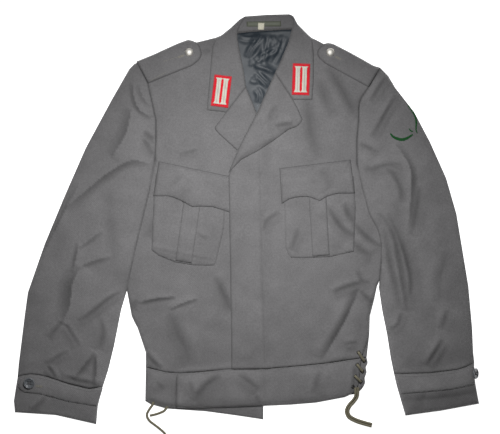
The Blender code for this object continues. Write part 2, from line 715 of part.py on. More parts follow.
def build_cuff_buttons():
    """The right one lies flat; the left one stands against the fold where its strap turns under."""
    x, y = CUFF_BUTTON_RIGHT
    add_cuff_button("right", (x, y, highest_under(x, y, CUFF_BUTTON["diameter"] / 2) + GAP), 0)
    add_cuff_button("left", CUFF_BUTTON_LEFT, CUFF_BUTTON_TILT)


def build_lacing():
    """Eyelets along both edges of the hip opening, and the lace between them."""
    outer, inner, height = EYELET["outer"] / 2, EYELET["inner"] / 2, EYELET["height"]
    profile = [(inner, height), (outer - EYELET["slope"], height), (outer, 0), (inner, 0)]
    places = [("front", place) for place in FRONT_EYELETS] + [("back", place) for place in BACK_EYELETS]
    rims = []
    for number, (edge, (x, y)) in enumerate(places, 1):
        ring = turned(f"eyelet_{edge}_{number}", profile, "eyelet_metal", 14, True)
        z = highest_under(x, y, outer) + GAP
        ring.location = Vector((x, y, z)) * MM
        rims.append(Vector((x, y, z + height + GAP + LACE_DIAMETER / 2)))
    for number in range(3):
        start, end = rims[number], rims[number + 4]
        crest = (start + end) / 2 + Vector((0, 0, LACE_BOW))
        lace(f"side_lace_{number + 1}", (start, (start + crest) / 2, crest, (crest + end) / 2, end))


def beside(route, distance):
    """The route moved sideways, to the left of its own direction where the distance is positive."""
    path = [Vector(point) for point in route]
    moved = []
    for before, here, after in zip(path[:1] + path, path, path[1:] + path[-1:]):
        along = (after - before).normalized()
        moved.append(here + Vector((-along.y, along.x)) * distance)
    return moved


def build_lace_tails():
    """The free ends: two side by side at the left hip, and two from under the right hip's hem."""
    for number, shift in enumerate((-LACE_PAIR / 2, LACE_PAIR / 2), 1):
        laid_lace(f"lace_tail_left_{number}", beside(LEFT_TAILS, shift))
    for number, route in enumerate(RIGHT_TAILS, 1):
        lace(f"lace_tail_right_{number}", [(x, y, LACE_DIAMETER / 2 + TABLE_CLEARANCE) for x, y in route])


for old in list(bpy.data.objects):
    bpy.data.objects.remove(old, do_unlink=True)
for collection_name in ("jacket", "cutters"):
    bpy.context.scene.collection.children.link(bpy.data.collections.new(collection_name))
materials = {name: new_material(name) for name in MATERIALS}

build_collar_back()
build_back()
lay("waistband_right", UNDER_BAND, BAND_WALL, "wool_twill", rise=HEM_ROLL)
build_front("right", RIGHT)
build_front("left", LEFT_SIDE)
lay("waistband_left", UPPER_BAND, BAND_WALL, "wool_twill")
for side_name, side_cut in (("right", RIGHT), ("left", LEFT_SIDE)):
    build_sleeve(side_name, side_cut)
    build_collar_leaf(side_name, side_cut)
    build_epaulette(side_name, side_cut)
build_cuff_buttons()
build_lacing()
build_lace_tails()
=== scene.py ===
"""Looks of a waist-length wool uniform jacket, laid on its back on a table.

Every cloth piece is a thin shell, cut to its solid's outline and laid on the pieces beneath it
in the order in which a person would lay them. X runs to the wearer's left, Y to the collar.
Left and right in names are the wearer's. Plain numbers in tables are millimetres.
"""

import math

import bmesh
import bpy
import numpy as np
from bpy.props import FloatProperty, FloatVectorProperty, PointerProperty
from mathutils import Matrix, Vector
from mathutils.bvhtree import BVHTree


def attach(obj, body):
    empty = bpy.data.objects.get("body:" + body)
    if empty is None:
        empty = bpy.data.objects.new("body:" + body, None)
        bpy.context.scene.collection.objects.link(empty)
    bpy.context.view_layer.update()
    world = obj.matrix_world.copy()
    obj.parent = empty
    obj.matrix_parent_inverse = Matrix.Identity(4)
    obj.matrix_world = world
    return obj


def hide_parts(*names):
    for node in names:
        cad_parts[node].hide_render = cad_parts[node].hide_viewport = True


bl_info = {
    "name": "Uniform jacket",
    "version": (1, 0, 0),
    "blender": (4, 5, 0),
    "location": "View3D > Sidebar > Jacket",
    "description": "Lays a wool uniform jacket's cloth, trim and laces on its solid model",
    "category": "Add Mesh",
}

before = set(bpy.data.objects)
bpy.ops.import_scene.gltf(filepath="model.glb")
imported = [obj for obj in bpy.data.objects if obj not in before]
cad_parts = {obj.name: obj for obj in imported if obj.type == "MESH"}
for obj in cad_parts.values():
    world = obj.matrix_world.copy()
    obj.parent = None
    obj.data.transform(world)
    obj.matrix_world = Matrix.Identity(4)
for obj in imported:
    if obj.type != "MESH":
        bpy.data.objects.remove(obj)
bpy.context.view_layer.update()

MM = 0.001

# The photo's scale and centre: places below that say px are read off it
PX = 1.85
PX_LEFT = -456.0
PX_TOP = 405.6

# The height map: the level of everything laid so far, held at points this far apart
CELL = 2.0
MAP_LEFT = -450.0
MAP_LOW = -400.0
MAP_COLUMNS = 451
MAP_ROWS = 401

# Shoulder pads raise the fronts and sleeves: (x, y) of each pad's crown
PAD_CROWNS = ((-160.0, 282.0), (202.0, 272.0))
PAD_RISE = 8.0
PAD_REACH = 64.0

SEAM_ROLL = 2.6  # how far in from a seam the cloth starts to dip into it
SEAM_DIP = 0.7
SEAM_LOOK = 2.4  # a piece that ends within this of another one's edge is sewn to it
SEAM_MEET = 0.35  # each piece reaches this far past its solid's outline, so that seams close
UPWARD = 0.25  # a solid's faces whose normals rise less than this are its sides and underside
LEAST_STEP = 0.05  # points of an outline stand at least this far apart
LEAST_TURN = math.radians(0.6)  # and turn it by at least this much
LEAST_SHARE = 0.35  # keeps sharp corners from moving too far with their edges
RIMS = (0.9, 1.0, 1.1)  # widths of the narrow bands of mesh inside each outline
GROOVE = 0.6  # how deep a row of stitches sinks
GROOVE_REACH = 1.2  # how far to each side of the row it sinks the cloth
LEAST_TOP = 1.4  # no upper side comes lower than this, so that the wall beneath it stays on the table
EDGE_LOFT = 0.15  # the share of its loft that a piece keeps at its very edge
EDGE_CREASE = 0.25  # the share of its height that a crease keeps there
CREASE_FADE = 9.0  # the way in over which a crease would grow from nothing to its full height
PAINTED_CREASE_SHADE = 0.65  # how dark the shade painted on a full trough or steep flank is, where 1 is as dark as a seam
FULL_CREASE = 4.5  # a crease of this height or more gets its darkest painted shade
GENTLE = 2.0  # how many times as far as the steep flank the gentle one reaches
PAINTED_SHADE_REACH = 1.7  # how far in from an edge the shade painted along it reaches

# How far in from its edges each piece is topstitched
STITCHED = {
    "pocket_right": 2.4, "pocket_left": 2.4, "pocket_flap_right": 4.0, "pocket_flap_left": 4.0,
    "epaulette_right": 2.6, "epaulette_left": 2.6, "waistband_left": 3.0, "waistband_right": 3.0,
    "cuff_strap_right": 2.6, "cuff_strap_left": 2.6, "collar_patch_right": 1.2, "collar_patch_left": 1.2,
}

# How each piece of cloth lies. wall: its thickness as laid, with what lines it. loft: how far it
# puffs up, and fade: how far in from its edges it does so in full. roll and drop: how far in, and
# how far down, its free edges turn. shade: how dark the shade painted along its edges is, where they
# meet another piece. fine: 1 for a piece that shows, which has the fine mesh.
LAY_COLUMNS = ("piece", "wall", "loft", "fade", "roll", "drop", "shade", "fine", "cloth")
LAYING = {
    "back": (
        ("collar_fall_back", 2.2, 0.0, 10, 3.0, 1.0, 0.6, 1, "wool"),
        ("back", 2.6, 0.0, 20, 3.0, 1.0, 0.5, 0, "wool"),
        ("back_waistband", 2.2, 0.0, 20, 3.0, 1.0, 0.5, 0, "wool"),
        ("collar_stand", 2.0, 0.4, 8, 3.0, 1.0, 0.4, 1, "wool"),
        ("hanger_loop", 0.9, 0.5, 4, 1.2, 0.4, 0, 1, "ribbon"),
        ("size_label", 0.7, 0.0, 4, 0.8, 0.3, 0, 1, "label"),
        ("back_lining", 1.0, 1.6, 16, 2.0, 0.6, 0, 1, "satin"),
    ),
    "fronts": (
        ("waistband_right", 2.4, 1.8, 16, 4.0, 1.4, 0.15, 1, "wool"),
        ("front_right", 2.6, 3.6, 60, 9.0, 2.6, 0.3, 1, "wool"),
        ("pocket_right", 1.5, 0.8, 26, 2.6, 0.7, 0.25, 1, "wool"),
        ("pocket_pleat_right", 1.3, 0.3, 10, 2.2, 0.6, 0.3, 1, "wool"),
        ("pocket_flap_right", 1.6, 0.7, 18, 2.6, 0.9, 0.65, 1, "wool"),
        ("lapel_right", 1.9, 1.4, 18, 4.0, 1.4, 0.45, 1, "wool"),
        ("front_left", 2.6, 3.6, 60, 9.0, 2.6, 0.5, 1, "wool"),
        ("pocket_left", 1.5, 0.8, 26, 2.6, 0.7, 0.15, 1, "wool"),
        ("pocket_pleat_left", 1.3, 0.3, 10, 2.2, 0.6, 0.4, 1, "wool"),
        ("pocket_flap_left", 1.6, 0.7, 18, 2.6, 0.9, 0.65, 1, "wool"),
        ("lapel_left", 1.9, 2.0, 26, 6.0, 1.7, 0.55, 1, "wool"),
        ("waistband_left", 2.4, 2.0, 18, 4.0, 1.2, 0.3, 1, "wool"),
    ),
    "sleeves": tuple(
        (f"{piece}_{side}", *numbers, "wool")
        for side in ("right", "left")
        for piece, *numbers in (
            ("under_sleeve", 2.2, 0.8, 40, 10.0, 1.6, 0.4, 0),
            ("top_sleeve", 2.3, 4.6, 46, 16.0, 5.4, 1.0, 1),
            ("cuff_under", 2.2, 0.0, 20, 4.0, 1.2, 0.3, 0),
            ("cuff_top", 2.2, 1.6, 24, 8.0, 2.2, 0.2, 1),
            ("cuff_strap", 1.5, 0.3, 14, 2.6, 1.1, 0.1, 1),
        )
    ),
    "collar": (
        ("collar_leaf_right", 2.2, 1.4, 22, 4.0, 1.4, 0.35, 1, "wool"),
        ("collar_patch_right", 1.4, 0.2, 8, 1.6, 0.6, 0.3, 1, "felt"),
        ("patch_bar_right_1", 1.1, 0.2, 3, 1.2, 0.5, 1, 1, "braid"),
        ("patch_bar_right_2", 1.1, 0.2, 3, 1.2, 0.5, 1, 1, "braid"),
        ("collar_leaf_left", 2.2, 1.4, 22, 4.0, 1.4, 0.4, 1, "wool"),
        ("collar_patch_left", 1.4, 0.2, 8, 1.6, 0.6, 0.3, 1, "felt"),
        ("patch_bar_left_1", 1.1, 0.2, 3, 1.2, 0.5, 1, 1, "braid"),
        ("patch_bar_left_2", 1.1, 0.2, 3, 1.2, 0.5, 1, 1, "braid"),
    ),
    "epaulettes": (
        ("epaulette_right", 2.4, 1.0, 14, 3.0, 1.3, 0.7, 1, "wool"),
        ("epaulette_left", 2.4, 1.0, 14, 3.0, 1.3, 0.7, 1, "wool"),
    ),
}
ORDER = [row[0] for rows in LAYING.values() for row in rows]
PADDED = ("front_right", "front_left", "top_sleeve_right", "top_sleeve_left")
CLOSE = (  # pieces that follow what lies beneath them closely, where the others bridge it softly
    "cuff_strap_right", "cuff_strap_left", "pocket_right", "pocket_left", "pocket_pleat_right",
    "pocket_pleat_left", "pocket_flap_right", "pocket_flap_left", "waistband_right", "waistband_left",
)

# Each piece's creases: the line in px, then width and height in mm, and lean. A ridge has a height
# above 0, a trough one below. lean says which flank is the steep one, going along the line: 1 the
# left one, -1 the right one, 0 for both. width is how far a steep flank reaches.
CREASES = {
    "top_sleeve_right": (
        (((132, 82), (135, 100), (140, 110), (152, 118)), 9, 4.9, -1),
        (((139, 84), (143, 97), (150, 106)), 10, 3.0, -1),
        (((143, 132), (148, 136), (155, 141)), 10, -4.1, 0),
        (((142, 139), (147, 146), (153, 156)), 10, -3.2, 0),
        (((132, 108), (126, 134), (112, 158)), 21, 4.9, -1),
        (((152, 164), (130, 161), (104, 176), (88, 189), (66, 208)), 16, 5.7, 1),
        (((80, 183), (68, 205), (54, 232), (42, 255), (32, 283), (27, 302)), 14, 4.6, -1),
        (((103, 230), (87, 242), (78, 248)), 8, 3.2, 1),
        (((79, 243), (75.5, 262), (72, 272)), 8, 4.1, -1),
        (((112, 256), (96, 260), (76, 268)), 10, 3.2, 1),
        (((82.5, 265.6), (73.5, 282), (70, 306), (62, 324)), 26, 8.1, -1),
        (((64, 320), (56, 329), (49, 338)), 8, -4.1, 0),
        (((122, 292), (107, 300.4), (94, 311), (79.6, 322)), 8, -4.9, 0),
        (((100, 317), (103, 334), (99, 350)), 10, -3.2, 0),
        (((63.7, 323), (71, 333), (79.6, 347)), 8, -2.7, 0),
        (((70, 351), (60, 356), (47, 365)), 8, -3.2, 0),
        (((95, 351), (86, 362), (73, 379)), 12, 4.9, 1),
        (((95.5, 350), (97, 366), (95, 387)), 10, 4.6, -1),
        (((47, 366), (51, 371), (56, 379)), 8, -3.5, 0),
        (((60, 377), (82, 382), (104, 386)), 10, -3.5, 0),
    ),
    "cuff_top_right": (
        (((47, 396), (40, 404), (32, 411)), 8, -3.5, 0),
    ),
    "top_sleeve_left": (
        (((387, 76.5), (379, 88), (370, 103)), 8, -4.9, 0),
        (((397, 95.5), (386.4, 112.4), (372, 138)), 8, -5.4, 0),
        (((358, 143.5), (367, 147.5), (378, 154)), 8, -3.8, 0),
        (((361, 167), (372, 170.4), (385, 166), (403, 166)), 10, -3.5, 0),
        (((381, 165), (393.7, 174.7), (401, 189), (402.4, 203)), 10, -4.1, 0),
        (((394, 143), (405.3, 158.8), (411, 175), (410, 201), (408, 226)), 13, 5.9, 1),
        (((421, 184), (417, 212), (412, 236)), 13, -3.5, 0),
        (((375, 214), (383.5, 219), (394, 236), (399, 258), (403, 281), (408, 311)), 10, -5.4, 0),
        (((387, 211), (398, 235.6), (408, 262), (412, 282), (409, 302)), 12, -4.9, 0),
        (((383, 226), (389.7, 262), (396, 289), (400, 310)), 10, -3.8, 0),
        (((402, 311), (398, 325), (390, 330)), 8, -3.5, 0),
        (((443.5, 339), (435.2, 352.7), (427, 366)), 10, -4.9, 0),
        (((449, 309), (442, 330)), 13, -3.2, 0),
        (((448, 250), (440, 280), (442, 300)), 21, -2.7, 0),
    ),
    "cuff_top_left": (
        (((427, 391), (424, 400), (423, 410)), 20, -2.7, 0),
        (((400, 401), (430, 399), (455, 396), (484, 391)), 22, -4.0, 0),
    ),
    "front_right": (
        (((179, 156), (189, 152.6), (198, 150)), 6, -2.4, 0),
        (((201.7, 52.4), (211.8, 50.8)), 6, -2.2, 0),
        (((163, 205), (156, 218), (148, 238)), 10, -3.0, 0),
        (((139, 302), (155, 298.4), (176, 296)), 8, 5.4, -1),
        (((198, 298), (185, 302), (169, 309)), 8, 4.1, 1),
        (((214, 276), (222.5, 293), (231, 313)), 13, -4.1, 0),
        (((168, 312), (176, 332), (184, 348), (188, 366)), 23, -3.2, 0),
        (((146, 352), (152, 361), (161, 369)), 9, -4.1, 0),
        (((132, 309), (137, 298)), 10, -3.0, 0),
        (((180, 373.5), (205, 372.3), (229, 369)), 6, -3.4, 0),
    ),
    "front_left": (
        (((360, 287), (346.2, 318), (335, 338), (322, 360)), 17, -6.5, -1),
        (((364, 283), (347.3, 287), (332, 294)), 10, -4.1, 0),
        (((359, 290), (365, 296), (372.5, 304)), 8, -4.1, 0),
        (((357, 270), (363, 281.6), (371, 283)), 9, -3.5, 0),
        (((343, 345), (350, 343.6), (358, 343)), 8, -2.4, 0),
        (((353, 222), (361, 232), (374, 243), (384, 248)), 9, -4.1, 0),
        (((352, 240), (360, 250), (372, 257)), 12, -3.8, 0),
        (((281, 212), (268, 221), (264, 233)), 9, -3.2, 0),
        (((306, 92), (311.3, 132), (319, 160)), 18, -3.2, 0),
        (((326, 66), (341, 88), (358, 118)), 16, -4.1, 0),
        (((318, 78), (324, 96), (334, 118)), 16, -3.0, 0),
        (((259, 150), (260.5, 215), (262.5, 290), (265, 366)), 5, -1.4, 0),
    ),
    "pocket_flap_left": (
        (((320, 167), (326, 177), (331, 189)), 18, -2.2, 0),
    ),
    "pocket_flap_right": (
        (((185, 173), (176, 181), (165, 190)), 10, -1.9, 0),
    ),
    "pocket_left": (
        (((327, 204), (334, 217), (342, 228.3), (356, 239)), 9, -4.9, 0),
        (((344, 202), (349, 215), (357, 226)), 10, -4.1, 0),
        (((299, 227), (295, 240), (291, 251)), 9, -3.0, 0),
    ),
    "pocket_right": (
        (((151, 248), (175, 253.3), (217, 261)), 6, -1.8, 0),
        (((195, 232), (201, 237), (208, 240)), 9, -2.2, 0),
    ),
    "pocket_pleat_right": (
        (((175, 253.6), (184, 255.6), (194, 257.4)), 6, -1.0, 0),
    ),
    "lapel_left": (
        (((277, 105), (271.5, 114), (269.4, 121)), 9, -2.7, 0),
        (((275, 127.4), (284, 125), (293, 124.4)), 8, -4.2, 0),
        (((233, 165), (240, 159), (254, 150.4), (272, 140.4), (288, 129.5)), 9, -1.6, 0),
    ),
    "waistband_left": (
        (((222, 375), (206, 386), (195, 402)), 13, -4.3, 0),
        (((237, 374), (246, 380), (258, 390)), 12, -3.2, 0),
        (((255, 394), (260, 405)), 9, -2.4, 0),
        (((189, 380), (192, 394)), 10, -2.2, 0),
        (((322, 371), (318, 380), (315, 394)), 12, -2.7, 0),
        (((355.5, 363), (354.6, 380), (352, 395)), 8, -3.2, 0),
    ),
    "waistband_right": (
        (((156, 382), (163, 390)), 10, -2.2, 0),
        (((177, 375), (176.4, 390), (176, 408)), 6, -4.0, 0),
    ),
    "back_lining": (
        (((238.4, 37), (246, 40), (257, 39)), 5, -3.3, 0),
        (((262.5, 35), (256, 44), (252, 49), (247, 58.2)), 6, -4.5, 0),
        (((258, 34), (254, 40), (250, 44)), 4, -3.3, 0),
        (((278.6, 48.2), (262.5, 56.9), (253.8, 61.6)), 6, -4.5, 0),
        (((247.7, 63), (252, 62.6), (259, 60)), 4, -3.6, 0),
        (((254, 66), (266, 69.4), (274.6, 73.6)), 8, 4.5, -1),
        (((255.8, 72.3), (262, 79), (269.2, 85.7)), 6, -4.5, 0),
        (((250, 79), (253.4, 80.6), (259, 81)), 4, -3.6, 0),
        (((268, 34), (265, 50), (262, 66)), 7, -3.3, 0),
        (((284, 36), (280, 50), (272, 64)), 7, -3.3, 0),
        (((271, 36), (277, 44), (283, 46)), 4, -3.0, 0),
        (((256, 88), (260, 95), (259, 103)), 6, -3.3, 0),
    ),
    "back": (
        (((150, 150), (220, 140), (300, 152)), 10, 1.5, 0),
        (((160, 300), (230, 320), (330, 300)), 10, 1.5, 0),
    ),
    "under_sleeve_right": (
        (((130, 160), (98, 190), (70, 210)), 8, 1.8, 0),
        (((120, 290), (100, 305), (60, 320)), 8, 1.8, 0),
    ),
    "under_sleeve_left": (
        (((372, 150), (395, 180), (420, 200)), 8, 1.8, 0),
        (((385, 280), (410, 300), (440, 310)), 8, 1.8, 0),
    ),
}
UNEVEN = (  # slow waves that keep any cloth from lying true: length, direction in degrees, height
    (61.0, 12.0, 0.22),
    (43.0, 73.0, 0.18),
    (29.0, 140.0, 0.12),
    (97.0, 105.0, 0.30),
)

level = np.zeros((MAP_COLUMNS, MAP_ROWS))
map_x, map_y = np.meshgrid(
    MAP_LEFT + CELL * np.arange(MAP_COLUMNS), MAP_LOW + CELL * np.arange(MAP_ROWS), indexing="ij"
)
outlines = {}
trees = {}  # for each laid piece, its surface, to find where trim sits on it


def linear(colour):
    """The linear colour of an sRGB hex value."""
    parts = [int(colour[k : k + 2], 16) / 255 for k in (0, 2, 4)]
    return tuple(part / 12.92 if part <= 0.04045 else ((part + 0.055) / 1.055) ** 2.4 for part in parts)


def length_setting(name, description, value):
    """A setting for a length, in metres."""
    return FloatProperty(name=name, description=description, default=value, unit="LENGTH")


def colour_setting(name, description, value):
    """A setting for a colour, from its sRGB hex value."""
    return FloatVectorProperty(name=name, description=description, subtype="COLOR", default=linear(value))


class JacketCloth(bpy.types.PropertyGroup):
    """Sizes and colours of the cloth pieces."""

    shell: length_setting("Cloth wall", "Thickness drawn for each cloth piece", 0.0013)
    fine: length_setting("Fine mesh", "Longest edge on a piece that shows", 0.0027)
    coarse: length_setting("Coarse mesh", "Longest edge on a piece that is covered", 0.011)
    bend: length_setting("Softest bend", "How far round a step beneath it a cloth bends", 0.008)
    wool: colour_setting("Wool", "Colour of the wool twill", "747374")
    satin: colour_setting("Lining", "Colour of the satin lining", "262f37")
    felt: colour_setting("Patch", "Colour of the felt patches", "df1a2c")
    braid: colour_setting("Braid", "Colour of the patches' bars", "d8d6c8")
    ribbon: colour_setting("Hanger loop", "Colour of the loop's ribbon", "5f6455")
    label: colour_setting("Label", "Colour of the bare label", "e8e4d0")


class JacketTrim(bpy.types.PropertyGroup):
    """Sizes and colours of buttons, eyelets, laces and stitches."""

    lace: length_setting("Lace", "Diameter of the laces", 0.0047)
    lace_colour: colour_setting("Lace colour", "Colour of the cotton laces", "7a7562")
    silver: colour_setting("Shoulder buttons", "Colour of the metal", "eeebe4")
    resin: colour_setting("Cuff buttons", "Colour of the resin", "63666a")
    eyelet: colour_setting("Eyelets", "Colour of the lacquered metal", "4b4a4a")
    thread: colour_setting("Thread", "Colour of the seams' thread", "656465")
    green: colour_setting("Green thread", "Colour of the badge's left-over thread", "004a18")


class JacketStage(bpy.types.PropertyGroup):
    """Light and camera."""

    key: FloatProperty(
        name="Key lamp", description="Power of the lamp that stands beyond the collar", default=31.5,
        unit="POWER",
    )
    key_cone: FloatProperty(
        name="Key cone", description="Angle of the key lamp's cone", default=math.radians(92),
        subtype="ANGLE",
    )
    top: FloatProperty(
        name="Top lamp", description="Power of the lamp over the middle", default=0.9, unit="POWER"
    )
    top_height: length_setting("Top height", "From the table to the top lamp", 0.66)
    fill: FloatProperty(name="Fill", description="Strength of the light from all round", default=0.05)
    camera_height: length_setting("Camera height", "From the table to the lens", 6.0)
    view_width: length_setting("View width", "What the image shows from side to side", 0.925)


def add_node(tree, kind, inputs=None, **settings):
    """A shader node, with its inputs joined to other nodes' outputs or set to plain values."""
    node = tree.nodes.new(kind)
    for name, value in settings.items():
        setattr(node, name, value)
    for name, value in (inputs or {}).items():
        if isinstance(value, bpy.types.NodeSocket):
            tree.links.new(value, node.inputs[name])
        else:
            node.inputs[name].default_value = value
    return node


def new_surface(name, colour, roughness, **settings):
    """A material with its shader's plain values set."""
    material = bpy.data.materials.new(name)
    material.use_nodes = True
    shader = material.node_tree.nodes["Principled BSDF"]
    shader.inputs["Base Color"].default_value = (*colour, 1)
    shader.inputs["Roughness"].default_value = roughness
    for socket, value in settings.items():
        shader.inputs[socket.replace("_", " ")].default_value = value
    return material, material.node_tree, shader


def add_noise(tree, scale, detail, roughness=0.5, distortion=0.0):
    """Uneven values all over a piece."""
    place = add_node(tree, "ShaderNodeTexCoord").outputs["Object"]
    size = {"Vector": place, "Scale": scale, "Detail": detail}
    grain = {"Roughness": roughness, "Distortion": distortion}
    return add_node(tree, "ShaderNodeTexNoise", {**size, **grain}).outputs["Fac"]


def add_range(tree, value, reads, gives):
    """Values carried over from the range that it reads to the one that it gives."""
    ends = {"From Min": reads[0], "From Max": reads[1], "To Min": gives[0], "To Max": gives[1]}
    return add_node(tree, "ShaderNodeMapRange", {"Value": value, **ends}).outputs[0]


def add_math(tree, first, second, operation):
    """Two values joined into one."""
    return add_node(tree, "ShaderNodeMath", {0: first, 1: second}, operation=operation).outputs[0]


def shade_colour(tree, shader, colour, factor):
    """Gives a surface its colour times a factor that varies over it."""
    shade = add_node(tree, "ShaderNodeVectorMath", {0: colour, "Scale": factor}, operation="SCALE")
    tree.links.new(shade.outputs[0], shader.inputs["Base Color"])


def add_relief(tree, shader, height, strength, depth):
    """Gives a surface a fine relief, whose depth is in metres."""
    bump = add_node(tree, "ShaderNodeBump", {"Height": height, "Strength": strength, "Distance": depth})
    tree.links.new(bump.outputs[0], shader.inputs["Normal"])


def place_px(point):
    """A place read off the photo, in millimetres on the table."""
    return (PX * point[0] + PX_LEFT, PX_TOP - PX * point[1])


def outline_of(node):
    """The outline of a solid's upper side, seen from above, in millimetres."""
    bm = bmesh.new()
    bm.from_mesh(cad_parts[node].data)
    bmesh.ops.remove_doubles(bm, verts=bm.verts[:], dist=0.00001)
    bm.normal_update()
    beneath = [face for face in bm.faces if face.normal.z < UPWARD]
    bmesh.ops.delete(bm, geom=beneath, context="FACES")
    edges = [edge for edge in bm.edges if edge.is_boundary]
    if not edges:
        raise RuntimeError(f"{node} has no upper edge")
    first = edges[0].verts[0]
    here, came = first, None
    walked = []
    while True:
        walked.append(here.co.xy / MM)
        onward = [edge for edge in here.link_edges if edge.is_boundary and edge != came]
        came = onward[0]
        here = came.other_vert(here)
        if here == first:
            break
        if len(walked) > len(edges):
            raise RuntimeError(f"{node}'s upper edge doesn't close")
    bm.free()
    kept = []
    for before, point, after in zip(walked[-1:] + walked[:-1], walked, walked[1:] + walked[:1]):
        way = point - before
        if way.length > LEAST_STEP and way.angle(after - point, 1.0) > LEAST_TURN:
            kept.append(point)
    area = sum(a.x * b.y - b.x * a.y for a, b in zip(kept, kept[1:] + kept[:1]))
    return moved_in(kept if area > 0 else kept[::-1], -SEAM_MEET)


def moved_in(points, distance):
    """The outline moved inwards, or outwards where the distance is negative."""
    moved = []
    for before, here, after in zip(points[-1:] + points[:-1], points, points[1:] + points[:1]):
        arriving = (here - before).normalized()
        leaving = (after - here).normalized()
        across = Vector((-arriving.y - leaving.y, arriving.x + leaving.x)).normalized()
        share = max(LEAST_SHARE, across.dot(Vector((-arriving.y, arriving.x))))
        moved.append(here + across * distance / share)
    return moved


def inside(points, x, y):
    """Which of the places lie inside the outline."""
    found = np.zeros(x.shape, bool)
    for a, b in zip(points, points[1:] + points[:1]):
        if a.y == b.y:
            continue
        crossing = (a.y > y) != (b.y > y)
        found ^= crossing & (x < a.x + (y - a.y) * (b.x - a.x) / (b.y - a.y))
    return found


def window(points, margin=12.0):
    """The part of the height map round an outline."""
    xs = [point.x for point in points]
    ys = [point.y for point in points]
    low_i = max(0, int((min(xs) - margin - MAP_LEFT) / CELL))
    high_i = min(MAP_COLUMNS, int((max(xs) + margin - MAP_LEFT) / CELL) + 2)
    low_j = max(0, int((min(ys) - margin - MAP_LOW) / CELL))
    high_j = min(MAP_ROWS, int((max(ys) + margin - MAP_LOW) / CELL) + 2)
    return slice(low_i, high_i), slice(low_j, high_j)


def spread_over(values, reach, pick):
    """Each value joined with its neighbours up to reach cells away, along both axes."""
    for axis in (0, 1):
        shifted = [np.roll(values, shift, axis) for shift in range(-reach, reach + 1)]
        values = pick(shifted, axis=0)
    return values


def sampled(values, x, y):
    """Values of a height map between its points."""
    u = np.clip((x - MAP_LEFT) / CELL, 0, MAP_COLUMNS - 1.001)
    v = np.clip((y - MAP_LOW) / CELL, 0, MAP_ROWS - 1.001)
    i, j = u.astype(int), v.astype(int)
    u, v = u - i, v - j
    low = values[i, j] * (1 - u) + values[i + 1, j] * u
    high = values[i, j + 1] * (1 - u) + values[i + 1, j + 1] * u
    return low * (1 - v) + high * v


def distance(edges, x, y):
    """How far each place is from the nearest of some straight edges."""
    least = np.full(x.shape, 1000.0)
    for a, b in edges:
        run = b - a
        along = np.clip(((x - a.x) * run.x + (y - a.y) * run.y) / run.length_squared, 0, 1)
        least = np.minimum(least, np.hypot(x - a.x - along * run.x, y - a.y - along * run.y))
    return least


def split_edges(name):
    """The outline's edges: sewn to a neighbour, free on another piece, and free on the table."""
    points = outlines[name]
    sewn, over, outer = [], [], []
    for a, b in zip(points, points[1:] + points[:1]):
        along = (b - a).normalized()
        outward = Vector((along.y, -along.x)) * SEAM_LOOK
        middle = (a + b) / 2
        place = np.array([middle + outward, middle - outward])
        held = [
            inside(around, place[:, 0], place[:, 1]) for other, around in outlines.items() if other != name
        ]
        if any(out and not within for out, within in held):
            sewn.append((a, b))
        else:
            (over if any(out for out, _ in held) else outer).append((a, b))
    return sewn, over, outer


def soft_line(points, step=3.0):
    """Points along a soft curve through the given ones."""
    path = [Vector(point) for point in points]
    path = [2 * path[0] - path[1], *path, 2 * path[-1] - path[-2]]
    found = []
    for before, start, end, after in zip(path, path[1:], path[2:], path[3:]):
        count = max(1, round((end - start).length / step))
        for k in range(count):
            t = k / count
            bend = (2 * before - 5 * start + 4 * end - after) * t * t
            swing = (3 * start - before - 3 * end + after) * t**3
            found.append(0.5 * (2 * start + (end - before) * t + bend + swing))
    return [*found, path[-2]]


def px_line(points, step=3.0):
    """A soft curve in millimetres through places read off the photo."""
    return soft_line([place_px(point) for point in points], step)


def creased(name, x, y):
    """How far the piece's creases raise each place, and how dark the shade painted on their troughs and
    steep flanks is.
    """
    lift, shade = np.zeros(x.shape), np.zeros(x.shape)
    for points, width, height, lean in CREASES.get(name, ()):
        line = np.array(px_line(points))
        reach = 2 * GENTLE * width
        near = (x > line[:, 0].min() - reach) & (x < line[:, 0].max() + reach)
        near &= (y > line[:, 1].min() - reach) & (y < line[:, 1].max() + reach)
        if not near.any():
            continue
        off_x = x[near][:, None] - line[:, 0]
        off_y = y[near][:, None] - line[:, 1]
        nearest = np.argmin(off_x**2 + off_y**2, axis=1)
        run = np.gradient(line, axis=0)
        run /= np.linalg.norm(run, axis=1)[:, None]
        row_number = np.arange(len(nearest))
        dx, dy = off_x[row_number, nearest], off_y[row_number, nearest]
        across = run[nearest, 0] * dy - run[nearest, 1] * dx
        along = run[nearest, 0] * dx + run[nearest, 1] * dy
        share = nearest / (len(line) - 1)
        taper = np.sqrt(np.sin(np.pi * np.clip(share, 0, 1)))
        gentle = across * lean < 0
        share_out = np.abs(across) / np.where(gentle, GENTLE * width, width)
        flanks = np.clip(1 - share_out, 0, 1) ** 2
        if height < 0:  # its banks rise, so that a trough never cuts into what lies beneath
            banks = np.clip(1 - share_out / 2, 0, 1) ** 2
            rise = -2 * height * (banks - flanks)
        else:
            rise = height * flanks
        fading = taper * np.exp(-((along / width) ** 2))
        lift[near] += rise * fading
        # Shade painted into the colour: along each trough, and on a leaning ridge's steep flank
        if height < 0 or lean:
            dark = np.where(gentle, 0, np.sqrt(flanks))
            painted_darkness = PAINTED_CREASE_SHADE * min(1, abs(height) / FULL_CREASE)
            shade[near] = np.maximum(shade[near], painted_darkness * fading * dark)
    return lift, shade


def pad_rise(x, y):
    """How far the shoulder pads raise each place."""
    rise = np.zeros(x.shape)
    for crown_x, crown_y in PAD_CROWNS:
        rise += PAD_RISE * np.exp(-((x - crown_x) ** 2 + (y - crown_y) ** 2) / PAD_REACH**2)
    return rise


